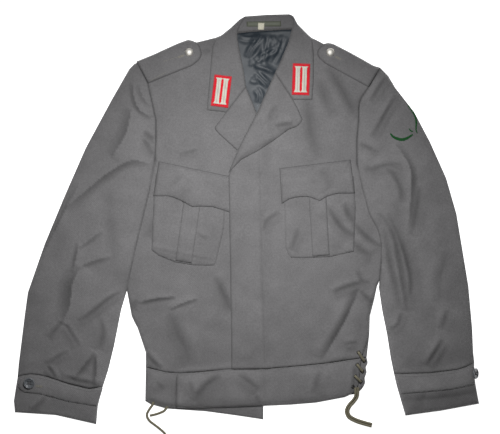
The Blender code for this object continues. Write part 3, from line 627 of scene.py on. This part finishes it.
def unevenness(x, y):
    """Slow shallow waves."""
    total = np.zeros(x.shape)
    for length, direction, height in UNEVEN:
        turn = math.radians(direction)
        total += height * np.sin(2 * math.pi * (x * math.cos(turn) + y * math.sin(turn)) / length + length)
    return total


def surface_of(lay, bases, edges, x, y):
    """The height of a laid piece's upper side at each place, and how much shade is painted on it there.

    bases are the height maps that it lies on: bridged softly by its middle, and met by its free edges.
    """
    sewn, over, outer = edges
    to_seam, to_over = distance(sewn, x, y), distance(over, x, y)
    to_free = np.minimum(to_over, distance(outer, x, y))
    to_edge = np.minimum(to_seam, to_free)
    swell = np.clip(to_edge / lay["fade"], 0, 1)
    swell = swell * swell * (3 - 2 * swell)
    creases, shade = creased(lay["piece"], x, y)
    waves = creases + unevenness(x, y) * min(1, lay["loft"])
    grown = np.clip(EDGE_CREASE + to_edge / CREASE_FADE, 0, 1)
    lift = lay["loft"] * np.maximum(swell, EDGE_LOFT) + waves * grown
    near_free = np.clip(1 - to_free / lay["roll"], 0, 1)
    near_seam = np.clip(1 - to_seam / SEAM_ROLL, 0, 1)
    turn_down = lay["drop"] * (1 - np.sqrt(1 - near_free**2)) + SEAM_DIP * near_seam**2
    stitched = STITCHED.get(lay["piece"])
    if stitched:
        turn_down = turn_down + GROOVE * np.exp(-(((to_free - stitched) / GROOVE_REACH) ** 2))
    bridged, met = (sampled(base, x, y) for base in bases)
    height = bridged + (met - bridged) * near_free + lay["wall"] + np.maximum(0, lift)
    if lay["piece"] in PADDED:
        height = height + pad_rise(x, y)
    # Shade painted along its seams and along its edges that lie over other pieces
    painted_edge_shade = lay["shade"] * np.exp(-((np.minimum(to_seam, to_over) / PAINTED_SHADE_REACH) ** 2))
    return np.maximum(height - turn_down, LEAST_TOP), np.maximum(painted_edge_shade, shade)


def cut_rows(bm, faces, axis, places):
    """Cuts flat faces along evenly spaced lines, halving the set of faces at each cut."""
    if not places or not faces:
        return
    middle = len(places) // 2
    normal = Vector((1, 0, 0)) if axis == 0 else Vector((0, 1, 0))
    around = {vert for face in faces for vert in face.verts}
    edges = {edge for face in faces for edge in face.edges}
    cut = bmesh.ops.bisect_plane(
        bm, geom=[*faces, *edges, *around], dist=0.00002, plane_co=normal * places[middle], plane_no=normal
    )
    low, high = [], []
    for part in cut["geom"]:
        if isinstance(part, bmesh.types.BMFace):
            (low if part.calc_center_bounds()[axis] < places[middle] else high).append(part)
    cut_rows(bm, low, axis, places[:middle])
    cut_rows(bm, high, axis, places[middle + 1 :])


def bases_for(name, sewn, bend):
    """The height maps that a piece lies on: bridged softly by its middle, and met by its free edges."""
    points = outlines[name]
    part = window(points)
    x, y = map_x[part], map_y[part]
    # What it is sewn to doesn't lift it
    clear = inside(points, x, y) & (distance(sewn, x, y) > CELL)
    beneath = np.where(clear, level[part], 0.0)
    reach = 1 if name in CLOSE else round(bend / MM / CELL)
    bridged, met = level.copy(), level.copy()
    bridged[part] = spread_over(spread_over(beneath, reach, np.max), reach, np.mean)
    met[part] = spread_over(level[part], 1, np.mean)
    return bridged, met


def cut_flat(points, step):
    """A flat mesh with the outline's shape: narrow rims inside its edge, and squares of one step."""
    bm = bmesh.new()
    outline = bm.faces.new([bm.verts.new((point.x * MM, point.y * MM, 0)) for point in points])
    for width in RIMS:
        bmesh.ops.inset_region(bm, faces=[outline], thickness=width * MM, use_even_offset=True)
    for axis in (0, 1):
        places = [point[axis] * MM for point in points]
        first, last = math.ceil(min(places) / step), math.floor(max(places) / step)
        cut_rows(bm, bm.faces[:], axis, [k * step for k in range(first, last + 1)])
    bmesh.ops.remove_doubles(bm, verts=bm.verts[:], dist=0.00003)
    bmesh.ops.dissolve_degenerate(bm, edges=bm.edges[:], dist=0.00003)
    if bm.faces[:][0].normal.z < 0:
        bmesh.ops.reverse_faces(bm, faces=bm.faces[:])
    return bm


def lay_piece(lay, settings, material):
    """Cuts one piece of cloth to its solid's outline and lays it on what lies beneath."""
    name = lay["piece"]
    points = outlines[name]
    edges = split_edges(name)
    bases = bases_for(name, edges[0], settings.bend)
    bm = cut_flat(points, settings.fine if lay["fine"] else settings.coarse)
    flat = np.array([vert.co.xy for vert in bm.verts]) / MM
    heights, shades = surface_of(lay, bases, edges, flat[:, 0], flat[:, 1])
    # Shade painted on each point, for the materials to darken the colour by
    shaded = bm.verts.layers.float.new("shaded")
    for vert, height, shade in zip(bm.verts, heights, shades):
        vert.co.z = height * MM
        vert[shaded] = shade
    doubled = bmesh.ops.extrude_face_region(bm, geom=bm.faces[:], use_keep_orig=True)["geom"]
    lower = [element for element in doubled if isinstance(element, bmesh.types.BMVert)]
    bmesh.ops.translate(bm, verts=lower, vec=(0, 0, -settings.shell))
    mesh = finished_mesh(name + "_cloth", bm, hit_as=name)
    mesh.materials.append(material)
    obj = bpy.data.objects.new(name + "_cloth", mesh)
    bpy.context.scene.collection.objects.link(obj)
    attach(obj, "root")
    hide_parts(name)

    part = window(points)
    x, y = map_x[part], map_y[part]
    under = inside(points, x, y)
    tops, _ = surface_of(lay, bases, edges, x[under], y[under])
    laid = level[part]
    laid[under] = np.maximum(laid[under], tops)
    return obj


def make_wool(name, colour):
    """Wool twill, woven and then fulled: matt, clouded, with a short nap that lights up at its rims."""
    material, tree, shader = new_surface(name, colour, 0.95, Sheen_Weight=0.25, Sheen_Roughness=0.5)
    cloud = add_noise(tree, 22, 4, 0.6)
    nap = add_noise(tree, 330, 3, 0.7)
    # The real wales stand under 1 mm apart, finer than the image can hold, so they are drawn coarser
    place = add_node(tree, "ShaderNodeTexCoord").outputs["Object"]
    wales = {"Vector": place, "Scale": 190, "Distortion": 3.0, "Detail": 2}
    wale = add_node(tree, "ShaderNodeTexWave", wales, bands_direction="DIAGONAL").outputs["Fac"]
    # Painted shade: the colour darkens along seams, along edges laid over other pieces and in creases
    shaded = add_node(tree, "ShaderNodeAttribute", attribute_name="shaded").outputs["Fac"]
    tone = add_range(tree, cloud, (0.3, 0.7), (0.9, 1.1))
    fleck = add_range(tree, nap, (0.25, 0.75), (0.82, 1.18))
    painted_shade_tone = add_range(tree, shaded, (0.0, 1.0), (1.0, 0.3))
    both = add_math(tree, tone, fleck, "MULTIPLY")
    shade_colour(tree, shader, (*colour,), add_math(tree, both, painted_shade_tone, "MULTIPLY"))
    add_relief(tree, shader, add_math(tree, wale, nap, "ADD"), 0.35, 0.0006)
    return material


def make_plain_cloth(name, colour, roughness, scale, strength):
    """A smaller cloth piece: its own colour, a fine uneven tone and a fine weave in relief."""
    material, tree, shader = new_surface(name, colour, roughness)
    weave = add_noise(tree, scale, 3, 0.6)
    shade_colour(tree, shader, (*colour,), add_range(tree, weave, (0.25, 0.75), (0.88, 1.1)))
    add_relief(tree, shader, weave, strength, 0.0004)
    return material


def make_braid(name, colour):
    """Flat woven braid: a cord along each edge of the bar, with painted shade darkening the groove between
    them.
    """
    material = make_plain_cloth(name, colour, 0.7, 600, 0.5)
    tree = material.node_tree
    shader = tree.nodes["Principled BSDF"]
    weave = shader.inputs["Base Color"].links[0].from_socket
    # The painted edge shade, highest near the bar's edges, lays out the cords; the groove between is
    # painted darker
    shaded = add_node(tree, "ShaderNodeAttribute", attribute_name="shaded").outputs["Fac"]
    shade_colour(tree, shader, weave, add_range(tree, shaded, (0.03, 0.2), (0.62, 1.0)))
    return material


MATERIALS = {
    "wool": "wool_twill_fulled", "satin": "lining_satin_woven", "felt": "badge_felt_pressed",
    "braid": "bar_braid_woven", "ribbon": "loop_ribbon_woven", "label": "label_tape_woven",
}
WEAVES = {  # roughness, how fine the weave is, and how strong its relief
    # Satin floats of silk-like yarn: smooth, with a soft streak of light on each crease
    "satin": (0.5, 500, 0.1),
    # Pressed felt: saturated, fully matt
    "felt": (0.95, 420, 0.3),
    # Ribbon and label tape: tightly woven, the ribbon with a slight sheen
    "ribbon": (0.55, 600, 0.2),
    "label": (0.8, 500, 0.2),
}


def cloth_material(kind, cloth):
    """The material of one kind of cloth, made once."""
    name = MATERIALS[kind]
    if name in bpy.data.materials:
        return bpy.data.materials[name]
    if kind == "wool":
        return make_wool(name, cloth.wool)
    if kind == "braid":
        return make_braid(name, cloth.braid)
    return make_plain_cloth(name, getattr(cloth, kind), *WEAVES[kind])


class LaysGroup:
    """Lays one group of pieces, in order. The operators below name their group."""

    group = ""

    def execute(self, context):
        cloth = context.scene.jacket_cloth
        if not outlines:
            outlines.update((name, outline_of(name)) for name in ORDER)
        for row in LAYING[self.group]:
            lay = dict(zip(LAY_COLUMNS, row))
            obj = lay_piece(lay, cloth, cloth_material(lay["cloth"], cloth))
        return {"FINISHED"}


class JACKET_OT_lay_back(LaysGroup, bpy.types.Operator):
    """Lays the back, its waistband, the collar's back and the lining that shows at the neck."""

    bl_idname = "jacket.lay_back"
    bl_label = "Lay the back"
    group = "back"


class JACKET_OT_lay_fronts(LaysGroup, bpy.types.Operator):
    """Lays both fronts with their pockets and lapels, and the waistband."""

    bl_idname = "jacket.lay_fronts"
    bl_label = "Lay the fronts"
    group = "fronts"


class JACKET_OT_lay_sleeves(LaysGroup, bpy.types.Operator):
    """Lays the sleeves and their cuffs."""

    bl_idname = "jacket.lay_sleeves"
    bl_label = "Lay the sleeves"
    group = "sleeves"


class JACKET_OT_lay_collar(LaysGroup, bpy.types.Operator):
    """Lays the collar's two front leaves with their patches and bars."""

    bl_idname = "jacket.lay_collar"
    bl_label = "Lay the collar"
    group = "collar"


class JACKET_OT_lay_epaulettes(LaysGroup, bpy.types.Operator):
    """Lays the shoulder straps."""

    bl_idname = "jacket.lay_epaulettes"
    bl_label = "Lay the shoulder straps"
    group = "epaulettes"


def top_at(x, y, name=None):
    """The highest laid cloth at one place, or the named piece's own height, in millimetres."""
    highest = 0.0
    for tree in (trees[name],) if name else trees.values():
        hit = tree.ray_cast(Vector((x * MM, y * MM, 0.2)), Vector((0, 0, -1)))[0]
        if hit:
            highest = max(highest, hit.z / MM)
    return highest


def add_piece(name, data, material, stands_for=()):
    """An object that rides with the jacket."""
    obj = bpy.data.objects.new(name, data)
    data.materials.append(material)
    bpy.context.scene.collection.objects.link(obj)
    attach(obj, "root")
    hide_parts(*stands_for)
    return obj


def finished_mesh(name, bm, smooth=True, hit_as=None):
    """A mesh from finished faces, with its normals outward. hit_as is the name to find its top by."""
    bmesh.ops.recalc_face_normals(bm, faces=bm.faces[:])
    for face in bm.faces:
        face.smooth = smooth
    if hit_as:
        trees[hit_as] = BVHTree.FromBMesh(bm)
    mesh = bpy.data.meshes.new(name)
    bm.to_mesh(mesh)
    bm.free()
    return mesh


def add_solid(name, bm, material, stands_for=(), smooth=True):
    """A finished mesh as an object that rides with the jacket."""
    return add_piece(name, finished_mesh(name, bm, smooth), material, stands_for)


def turn_profile(bm, profile, steps, placing):
    """A body turned from a section's (radius, height) points, and placed by a matrix."""
    verts = [bm.verts.new((radius * MM, 0, height * MM)) for radius, height in profile]
    edges = [bm.edges.new(pair) for pair in zip(verts, verts[1:])]
    bmesh.ops.spin(
        bm, geom=[*verts, *edges], axis=(0, 0, 1), cent=(0, 0, 0), steps=steps, angle=2 * math.pi,
        use_merge=True,
    )
    bmesh.ops.remove_doubles(bm, verts=bm.verts[:], dist=0.000005)
    bmesh.ops.transform(bm, matrix=placing, verts=bm.verts[:])


def add_rod(bm, radius, depth, segments, placing):
    """A closed rod, upright until it is placed by a matrix."""
    bmesh.ops.create_cone(
        bm, cap_ends=True, segments=segments, radius1=radius * MM, radius2=radius * MM, depth=depth * MM,
        matrix=placing,
    )


def add_stitch(bm, place, along, length, thickness):
    """One stitch: a short rod of thread that lies along its row."""
    turning = along.to_track_quat("X", "Z").to_matrix().to_4x4()
    size = Matrix.Diagonal((length * MM, thickness * MM, thickness * 0.8 * MM, 1))
    bmesh.ops.create_cube(bm, size=1.0, matrix=Matrix.Translation(place * MM) @ turning @ size)


def stitch_row(bm, line, name, kind, later=()):
    """Stitches along a line on the named piece. later are outlines of pieces laid over the row."""
    step, length, thickness = kind
    walked = 0.0
    for a, b in zip(line, line[1:]):
        run = (b - a).length
        if run == 0:
            continue
        along = (b - a) / run
        while walked < run:
            x, y = a + along * walked
            walked += step
            if any(inside(points, np.array([x]), np.array([y]))[0] for points in later):
                continue
            ends = [a + along * (walked - step + shift) for shift in (-length / 2, length / 2)]
            heights = [top_at(end.x, end.y, name) for end in ends]
            if min(heights) == 0.0 or abs(heights[0] - heights[1]) > length:
                continue
            slope = Vector((*(ends[1] - ends[0]), heights[1] - heights[0])).normalized()
            add_stitch(bm, Vector((x, y, sum(heights) / 2 + thickness * 0.2)), slope, length, thickness)
        walked -= run


# Kinds of stitch: from one to the next, then the stitch's length and thickness
SEAM_STITCH = (3.4, 2.5, 0.42)
TACK_STITCH = (4.2, 3.2, 0.6)
HOLE_STITCH = (0.9, 1.5, 0.7)
GREEN_STEP = 1.1
GREEN_THICKNESS = 1.3

BUTTONHOLES = (  # piece, centre in px, direction in degrees, length in mm
    ("epaulette_right", (181.5, 56.6), 22, 12),
    ("epaulette_left", (338.3, 58.6), -26, 12),
    ("cuff_strap_right", (39.8, 386.1), -5, 13),
)
TACKING = (  # rows of pale stitches left on the right strap, in px
    ((164.6, 61.6), (174, 58.6), (183.5, 55.8)),
    ((151.6, 80.5), (160, 75.9), (167.5, 71.8)),
)
GREEN_ARCS = (  # line in px, and the thread's width in mm at its middle
    (((390.3, 134), (393.5, 137.2), (400.5, 139.7), (406.2, 138.5), (412.6, 134.6)), 5.6),
    (((407.8, 105.3), (412.6, 112.3), (415.2, 117.4), (416.1, 123.2), (415.8, 129.5), (417, 133.4)), 3.2),
    (((408.8, 128.9), (411.3, 131.5), (413.2, 130.8)), 2.4),
)
PLACKET = ((259, 150), (260.5, 215), (262.5, 290), (265, 369))


def sew_seams():
    """Topstitching inside the pieces' edges, and down the left front."""
    bm = bmesh.new()
    for name, distance_in in STITCHED.items():
        later = [outlines[other] for other in ORDER[ORDER.index(name) + 1 :]]
        line = moved_in(outlines[name], distance_in)
        stitch_row(bm, line + line[:1], name, SEAM_STITCH, later)
    stitch_row(bm, px_line(PLACKET, 6.0), "front_left", SEAM_STITCH)
    return bm


def sew_buttonholes():
    """Two rows of close stitches for each buttonhole, and the tacking left on the right strap."""
    bm = bmesh.new()
    step, reach, thickness = HOLE_STITCH
    for name, centre, degrees, length in BUTTONHOLES:
        middle = Vector(place_px(centre))
        along = Vector((math.cos(math.radians(degrees)), math.sin(math.radians(degrees))))
        across = Vector((-along.y, along.x))
        for side in (-1, 1):
            for k in range(int(length / step)):
                place = middle + along * (k * step - length / 2) + across * side
                height = top_at(place.x, place.y, name) + 0.1
                add_stitch(bm, Vector((*place, height)), across.to_3d(), reach, thickness)
    for line in TACKING:
        stitch_row(bm, px_line(line), "epaulette_right", TACK_STITCH)
    return bm


def sew_badge_thread():
    """Green thread across the line of a badge's edge, at uneven angles and heights."""
    bm = bmesh.new()
    for line, width in GREEN_ARCS:
        path = px_line(line, GREEN_STEP)
        for k, (a, b) in enumerate(zip(path, path[1:])):
            along = (b - a).normalized()
            lean = Matrix.Rotation(math.radians(70 + 14 * math.sin(7.3 * k)), 2) @ along
            reach = width * (0.45 + 0.55 * math.sin(math.pi * (k + 0.5) / (len(path) - 1)))
            height = top_at(a.x, a.y, "top_sleeve_left") + 0.25 + 0.2 * math.sin(3.1 * k)
            add_stitch(bm, Vector((*a, height)), lean.to_3d(), reach, GREEN_THICKNESS)
    return bm


class JACKET_OT_sew(bpy.types.Operator):
    """Sews the rows of stitches, the buttonholes and the badge's left-over green thread."""

    bl_idname = "jacket.sew"
    bl_label = "Sew"

    def execute(self, context):
        trim = context.scene.jacket_trim
        # Spun polyester thread: matt, a little darker than the wool
        thread = make_plain_cloth("thread_spun", trim.thread, 0.8, 900, 0.2)
        green = make_plain_cloth("thread_green_rayon", trim.green, 0.85, 900, 0.3)
        pale = make_plain_cloth("thread_buttonhole", linear("8d8a80"), 0.8, 900, 0.2)
        add_solid("topstitching", sew_seams(), thread, smooth=False)
        add_solid("buttonholes", sew_buttonholes(), pale, smooth=False)
        add_solid("badge_thread", sew_badge_thread(), green, smooth=False)
        return {"FINISHED"}


def metal_material(name, colour, roughness, grain):
    """Pressed metal: the colour lies in its reflection, and a fine grain breaks that up."""
    material, tree, shader = new_surface(name, colour, roughness, Metallic=1.0)
    add_relief(tree, shader, add_noise(tree, 900, 2), grain, 0.0002)
    return material


SHOULDER_BUTTONS = {"right": (-106, 308), "left": (155, 308)}
DOME = (7.8, 5.4, 1.3)  # a shoulder button's radius, its height and its rim's height
# Each cuff button's place, the height of its back or None where it rests on the cloth, and its
# tilt in degrees
CUFF_BUTTONS = {"right": ((-401.5, -303), None, 0), "left": ((421.7, -285), 9.3, 60)}
CUFF_BUTTON_SECTION = (
    (0, 2.2), (6.6, 2.2), (7.5, 2.7), (8.1, 3.4), (8.9, 3.6), (9.6, 3.3), (10.1, 2.6), (10.2, 1.9),
    (9.7, 0.9), (8.6, 0), (0, 0),
)
HOLE_RADIUS = 1.2
HOLE_OUT = 2.6  # from a cuff button's middle to each hole's


def dome_section(radius, height, rim):
    """Half the section of a domed button: a flat back, an upright rim, and the dome on it."""
    section = [(0, 0), (radius - 0.8, 0), (radius, 0.5), (radius, rim)]
    for k in range(1, 10):
        angle = k * math.pi / 18
        section.append(((radius - 0.4) * math.cos(angle), rim + (height - rim) * math.sin(angle)))
    return [*section, (0, height)]


class JACKET_OT_set_buttons(bpy.types.Operator):
    """Sets the domed metal buttons on the shoulder straps and the four-hole ones on the cuffs."""

    bl_idname = "jacket.set_buttons"
    bl_label = "Set the buttons"

    def execute(self, context):
        trim = context.scene.jacket_trim
        # Pressed and silvered brass with a dull polish
        silver = metal_material("button_metal_pressed", trim.silver, 0.6, 0.25)
        # Moulded polyester resin, polished: dark, with a bright rim of light
        resin, tree, shader = new_surface("button_resin_moulded", trim.resin, 0.28)
        swirl = add_noise(tree, 160, 2, distortion=1.5)
        shade_colour(tree, shader, (*trim.resin,), add_range(tree, swirl, (0.3, 0.7), (0.75, 1.35)))
        for side, (x, y) in SHOULDER_BUTTONS.items():
            base = top_at(x, y, "epaulette_" + side) - 0.2
            bm = bmesh.new()
            turn_profile(bm, dome_section(*DOME), 48, Matrix.Translation(Vector((x, y, base)) * MM))
            name = f"shoulder_button_{side}_metal"
            add_solid(name, bm, silver, ["shoulder_button_" + side])
        for side, ((x, y), height, tilt) in CUFF_BUTTONS.items():
            base = top_at(x, y) + 0.1 if height is None else height
            tilting = Matrix.Rotation(math.radians(tilt), 4, "Y")
            placing = Matrix.Translation(Vector((x, y, base)) * MM) @ tilting
            self.set_cuff_button(side, placing, resin)
        return {"FINISHED"}

    def set_cuff_button(self, side, placing, resin):
        """One four-hole button, with the holes drilled and its crossed thread."""
        bm = bmesh.new()
        turn_profile(bm, CUFF_BUTTON_SECTION, 48, placing)
        name = f"cuff_button_{side}_resin"
        button = add_solid(name, bm, resin, ["cuff_button_" + side])
        holes = bmesh.new()
        for k in range(4):
            angle = math.pi / 4 + k * math.pi / 2
            corner = Vector((HOLE_OUT * math.cos(angle), HOLE_OUT * math.sin(angle), 1.8))
            add_rod(holes, HOLE_RADIUS, 6, 16, placing @ Matrix.Translation(corner * MM))
        cutter = bpy.data.objects.new(f"cuff_button_{side}_holes", finished_mesh("button_holes", holes))
        cutter.hide_render = True
        bpy.context.scene.collection.objects.link(cutter)
        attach(cutter, "root")
        drill = button.modifiers.new("holes", "BOOLEAN")
        drill.operation = "DIFFERENCE"
        drill.object = cutter
        threads = bmesh.new()
        for turn in (0, 90):
            size = Matrix.Diagonal((5.4 * MM, 0.8 * MM, 0.7 * MM, 1))
            cross = Matrix.Rotation(math.radians(45 + turn), 4, "Z")
            lift = Matrix.Translation((0, 0, (2.3 + turn / 300) * MM))
            bmesh.ops.create_cube(threads, size=1.0, matrix=placing @ lift @ cross @ size)
        thread = bpy.data.materials["thread_spun"]
        add_solid(f"cuff_button_{side}_thread", threads, thread, smooth=False)


FRONT_EYELETS = ((207, -246), (205, -269), (201, -290), (196, -309))
BACK_EYELETS = ((217.5, -262), (214.5, -281), (211, -300))
LEFT_TAILS = (
    (203.5, -311), (204, -320), (203, -328), (198, -336), (190, -345), (186, -355), (190, -365),
    (202, -372), (217, -377), (232, -381),
)
RIGHT_TAILS = (
    (
        (-171, -338), (-175, -345), (-180, -352), (-184, -360), (-183, -367), (-178, -374), (-170, -380),
        (-161, -387), (-152, -395), (-145, -405), (-140, -418),
    ),
    ((-146, -346), (-152, -354), (-160, -358), (-169, -361), (-178.5, -363)),
)
EYELET_SECTION = ((1.9, 0), (1.9, 0.8), (2.3, 1.2), (3.0, 1.1), (3.7, 0.5), (3.8, 0), (1.9, 0))
AROUND = ((0, 0), (2, 0), (-2, 0), (0, 2), (0, -2))  # where a lace feels for the cloth beneath it
LACE_APART = 4.5  # a little under a lace's width, as the two press on each other


def beside(route, distance_left):
    """A route moved sideways, to the left of its own direction where the distance is positive."""
    path = [Vector(point) for point in route]
    moved = []
    for before, here, after in zip(path[:1] + path, path, path[1:] + path[-1:]):
        along = (after - before).normalized()
        moved.append(here + Vector((-along.y, along.x)) * distance_left)
    return moved


def joined(values, pick):
    """Each value joined with the two before it and the two after it."""
    return [pick(values[max(k - 2, 0) : k + 3]) for k in range(len(values))]


def average(values):
    """The mean of some values."""
    return sum(values) / len(values)


def add_lace(name, places, diameter, material, stands_for):
    """A lace along given places, in millimetres."""
    curve = bpy.data.curves.new(name, "CURVE")
    curve.dimensions = "3D"
    spline = curve.splines.new("POLY")
    spline.points.add(len(places) - 1)
    for point, place in zip(spline.points, places):
        point.co = (*(place * MM), 1.0)
    curve.bevel_depth = diameter / 2
    curve.bevel_resolution = 4
    curve.use_fill_caps = True
    return add_piece(name, curve, material, stands_for)


class JACKET_OT_lace_the_hip(bpy.types.Operator):
    """Sets the eyelets, laces the left hip and lays out the laces' free ends."""

    bl_idname = "jacket.lace_the_hip"
    bl_label = "Lace the hip"

    def execute(self, context):
        trim = context.scene.jacket_trim
        radius = trim.lace / 2 / MM
        # Lacquered metal rings
        ring = metal_material("eyelet_metal_lacquered", trim.eyelet, 0.45, 0.1)
        # Braided cotton: matt, its plaits drawn as a fine uneven relief
        cotton = make_plain_cloth("lace_cotton_braided", trim.lace_colour, 0.9, 900, 0.35)
        # A near-black disc in each eyelet's hole: painted shade, where the hole lies in shadow
        hole = make_plain_cloth("eyelet_shade", linear("181614"), 1.0, 500, 0.1)
        rims = []
        places = [("front", place) for place in FRONT_EYELETS] + [("back", place) for place in BACK_EYELETS]
        for number, (edge, (x, y)) in enumerate(places, 1):
            base = top_at(x, y)
            bm = bmesh.new()
            turn_profile(bm, EYELET_SECTION, 32, Matrix.Translation(Vector((x, y, base - 0.2)) * MM))
            add_solid(f"eyelet_{number}_metal", bm, ring, [f"eyelet_{edge}_{number}"])
            # The painted shade in the ring's hole
            bm = bmesh.new()
            add_rod(bm, 2.0, 0.2, 24, Matrix.Translation(Vector((x, y, base + 0.05)) * MM))
            add_solid(f"eyelet_{number}_hole", bm, hole, smooth=False)
            rims.append(Vector((x, y, base + 1.0 + radius)))
        dip = Vector((0, 0, radius + 0.6))
        for number in range(3):
            start, end = rims[number], rims[number + 4]
            crest = (start + end) / 2 + Vector((0, 0, 1.0))
            rising = start + (crest - start) * 0.25
            falling = end + (crest - end) * 0.25
            path = soft_line([start - dip, rising, crest, falling, end - dip], 1.2)
            add_lace(f"lace_crossing_{number + 1}", path, trim.lace, cotton, [f"side_lace_{number + 1}"])
        for number, shift in enumerate((-LACE_APART / 2, LACE_APART / 2), 1):
            plan = soft_line(beside(LEFT_TAILS, shift), 3.0)
            floor = [max(top_at(point.x + dx, point.y + dy) for dx, dy in AROUND) for point in plan]
            eased = joined(joined(floor, max), average)
            path = [Vector((*point, height + 0.2 + radius)) for point, height in zip(plan, eased)]
            self.lay_tail(f"left_{number}", path, trim.lace, cotton)
        for number, route in enumerate(RIGHT_TAILS, 1):
            path = [Vector((*point, radius + 0.1)) for point in soft_line(route, 3.0)]
            self.lay_tail(f"right_{number}", path, trim.lace, cotton)
        return {"FINISHED"}

    def lay_tail(self, which, path, diameter, material):
        """One free end of a lace."""
        tail = add_lace("lace_end_" + which, path, diameter, material, ["lace_tail_" + which])


# Places on the stage, in metres
KEY_PLACE = (-0.02, 0.40, 0.8)
KEY_AIM = (0.0, -0.20, 0)
TOP_PLACE = (-0.02, -0.14)
SENSOR = 36  # the camera's sensor, in mm


class JACKET_OT_add_stage(bpy.types.Operator):
    """Adds the pale floor, the light and the camera straight above."""

    bl_idname = "jacket.add_stage"
    bl_label = "Add the stage"

    def execute(self, context):
        stage = context.scene.jacket_stage
        scene = context.scene
        bm = bmesh.new()
        bmesh.ops.create_grid(bm, x_segments=1, y_segments=1, size=3.0)
        mesh = bpy.data.meshes.new("floor")
        bm.to_mesh(mesh)
        bm.free()
        floor = bpy.data.objects.new("floor", mesh)
        mesh.transform(Matrix.Translation((0, 0, -0.0005)))
        material, tree, shader = new_surface("floor_paper", (0.9, 0.9, 0.9), 1.0)
        shader.inputs["Emission Color"].default_value = (1, 1, 1, 1)
        shader.inputs["Emission Strength"].default_value = 1.0
        mesh.materials.append(material)
        scene.collection.objects.link(floor)

        lamp = bpy.data.lights.new("key_lamp", "SPOT")
        lamp.energy = stage.key
        lamp.spot_size = stage.key_cone
        lamp.spot_blend = 1.0
        lamp.shadow_soft_size = 0.07
        key = bpy.data.objects.new("key_lamp", lamp)
        key.location = KEY_PLACE
        aim = Vector(KEY_AIM) - key.location
        key.rotation_euler = aim.to_track_quat("-Z", "Y").to_euler()
        scene.collection.objects.link(key)

        lamp = bpy.data.lights.new("top_lamp", "AREA")
        lamp.energy = stage.top
        lamp.shape = "DISK"
        lamp.size = 0.12
        top = bpy.data.objects.new("top_lamp", lamp)
        top.location = (*TOP_PLACE, stage.top_height)
        top.visible_camera = False
        scene.collection.objects.link(top)

        world = bpy.data.worlds.new("studio")
        world.use_nodes = True
        background = world.node_tree.nodes["Background"]
        background.inputs["Color"].default_value = (1, 1, 1, 1)
        background.inputs["Strength"].default_value = stage.fill
        scene.world = world

        camera = bpy.data.cameras.new("camera")
        camera.sensor_width = SENSOR
        camera.lens = SENSOR * stage.camera_height / stage.view_width
        camera.clip_end = 20
        seat = bpy.data.objects.new("camera", camera)
        centre = place_px((250, 217))
        seat.location = (centre[0] * MM, centre[1] * MM, stage.camera_height)
        scene.collection.objects.link(seat)
        scene.camera = seat
        scene.view_settings.view_transform = "Standard"
        return {"FINISHED"}


class JACKET_PT_panel(bpy.types.Panel):
    """Lists the jacket's operators."""

    bl_label = "Jacket"
    bl_idname = "JACKET_PT_panel"
    bl_space_type = "VIEW_3D"
    bl_region_type = "UI"
    bl_category = "Jacket"

    def draw(self, context):
        for kind in OPERATORS:
            self.layout.operator(kind.bl_idname)


OPERATORS = (
    JACKET_OT_lay_back, JACKET_OT_lay_fronts, JACKET_OT_lay_sleeves, JACKET_OT_lay_collar,
    JACKET_OT_lay_epaulettes, JACKET_OT_sew, JACKET_OT_set_buttons, JACKET_OT_lace_the_hip,
    JACKET_OT_add_stage,
)
GROUPS = (JacketCloth, JacketTrim, JacketStage)
CLASSES = (*GROUPS, *OPERATORS, JACKET_PT_panel)


def register():
    for kind in CLASSES:
        bpy.utils.register_class(kind)
    bpy.types.Scene.jacket_cloth = PointerProperty(type=JacketCloth)
    bpy.types.Scene.jacket_trim = PointerProperty(type=JacketTrim)
    bpy.types.Scene.jacket_stage = PointerProperty(type=JacketStage)


def unregister():
    del bpy.types.Scene.jacket_stage
    del bpy.types.Scene.jacket_trim
    del bpy.types.Scene.jacket_cloth
    for kind in reversed(CLASSES):
        bpy.utils.unregister_class(kind)


def main():
    register()
    bpy.ops.jacket.lay_back()
    bpy.ops.jacket.lay_fronts()
    bpy.ops.jacket.lay_sleeves()
    bpy.ops.jacket.lay_collar()
    bpy.ops.jacket.lay_epaulettes()
    bpy.ops.jacket.sew()
    bpy.ops.jacket.set_buttons()
    bpy.ops.jacket.lace_the_hip()
    bpy.ops.jacket.add_stage()


if __name__ == "__main__":
    main()
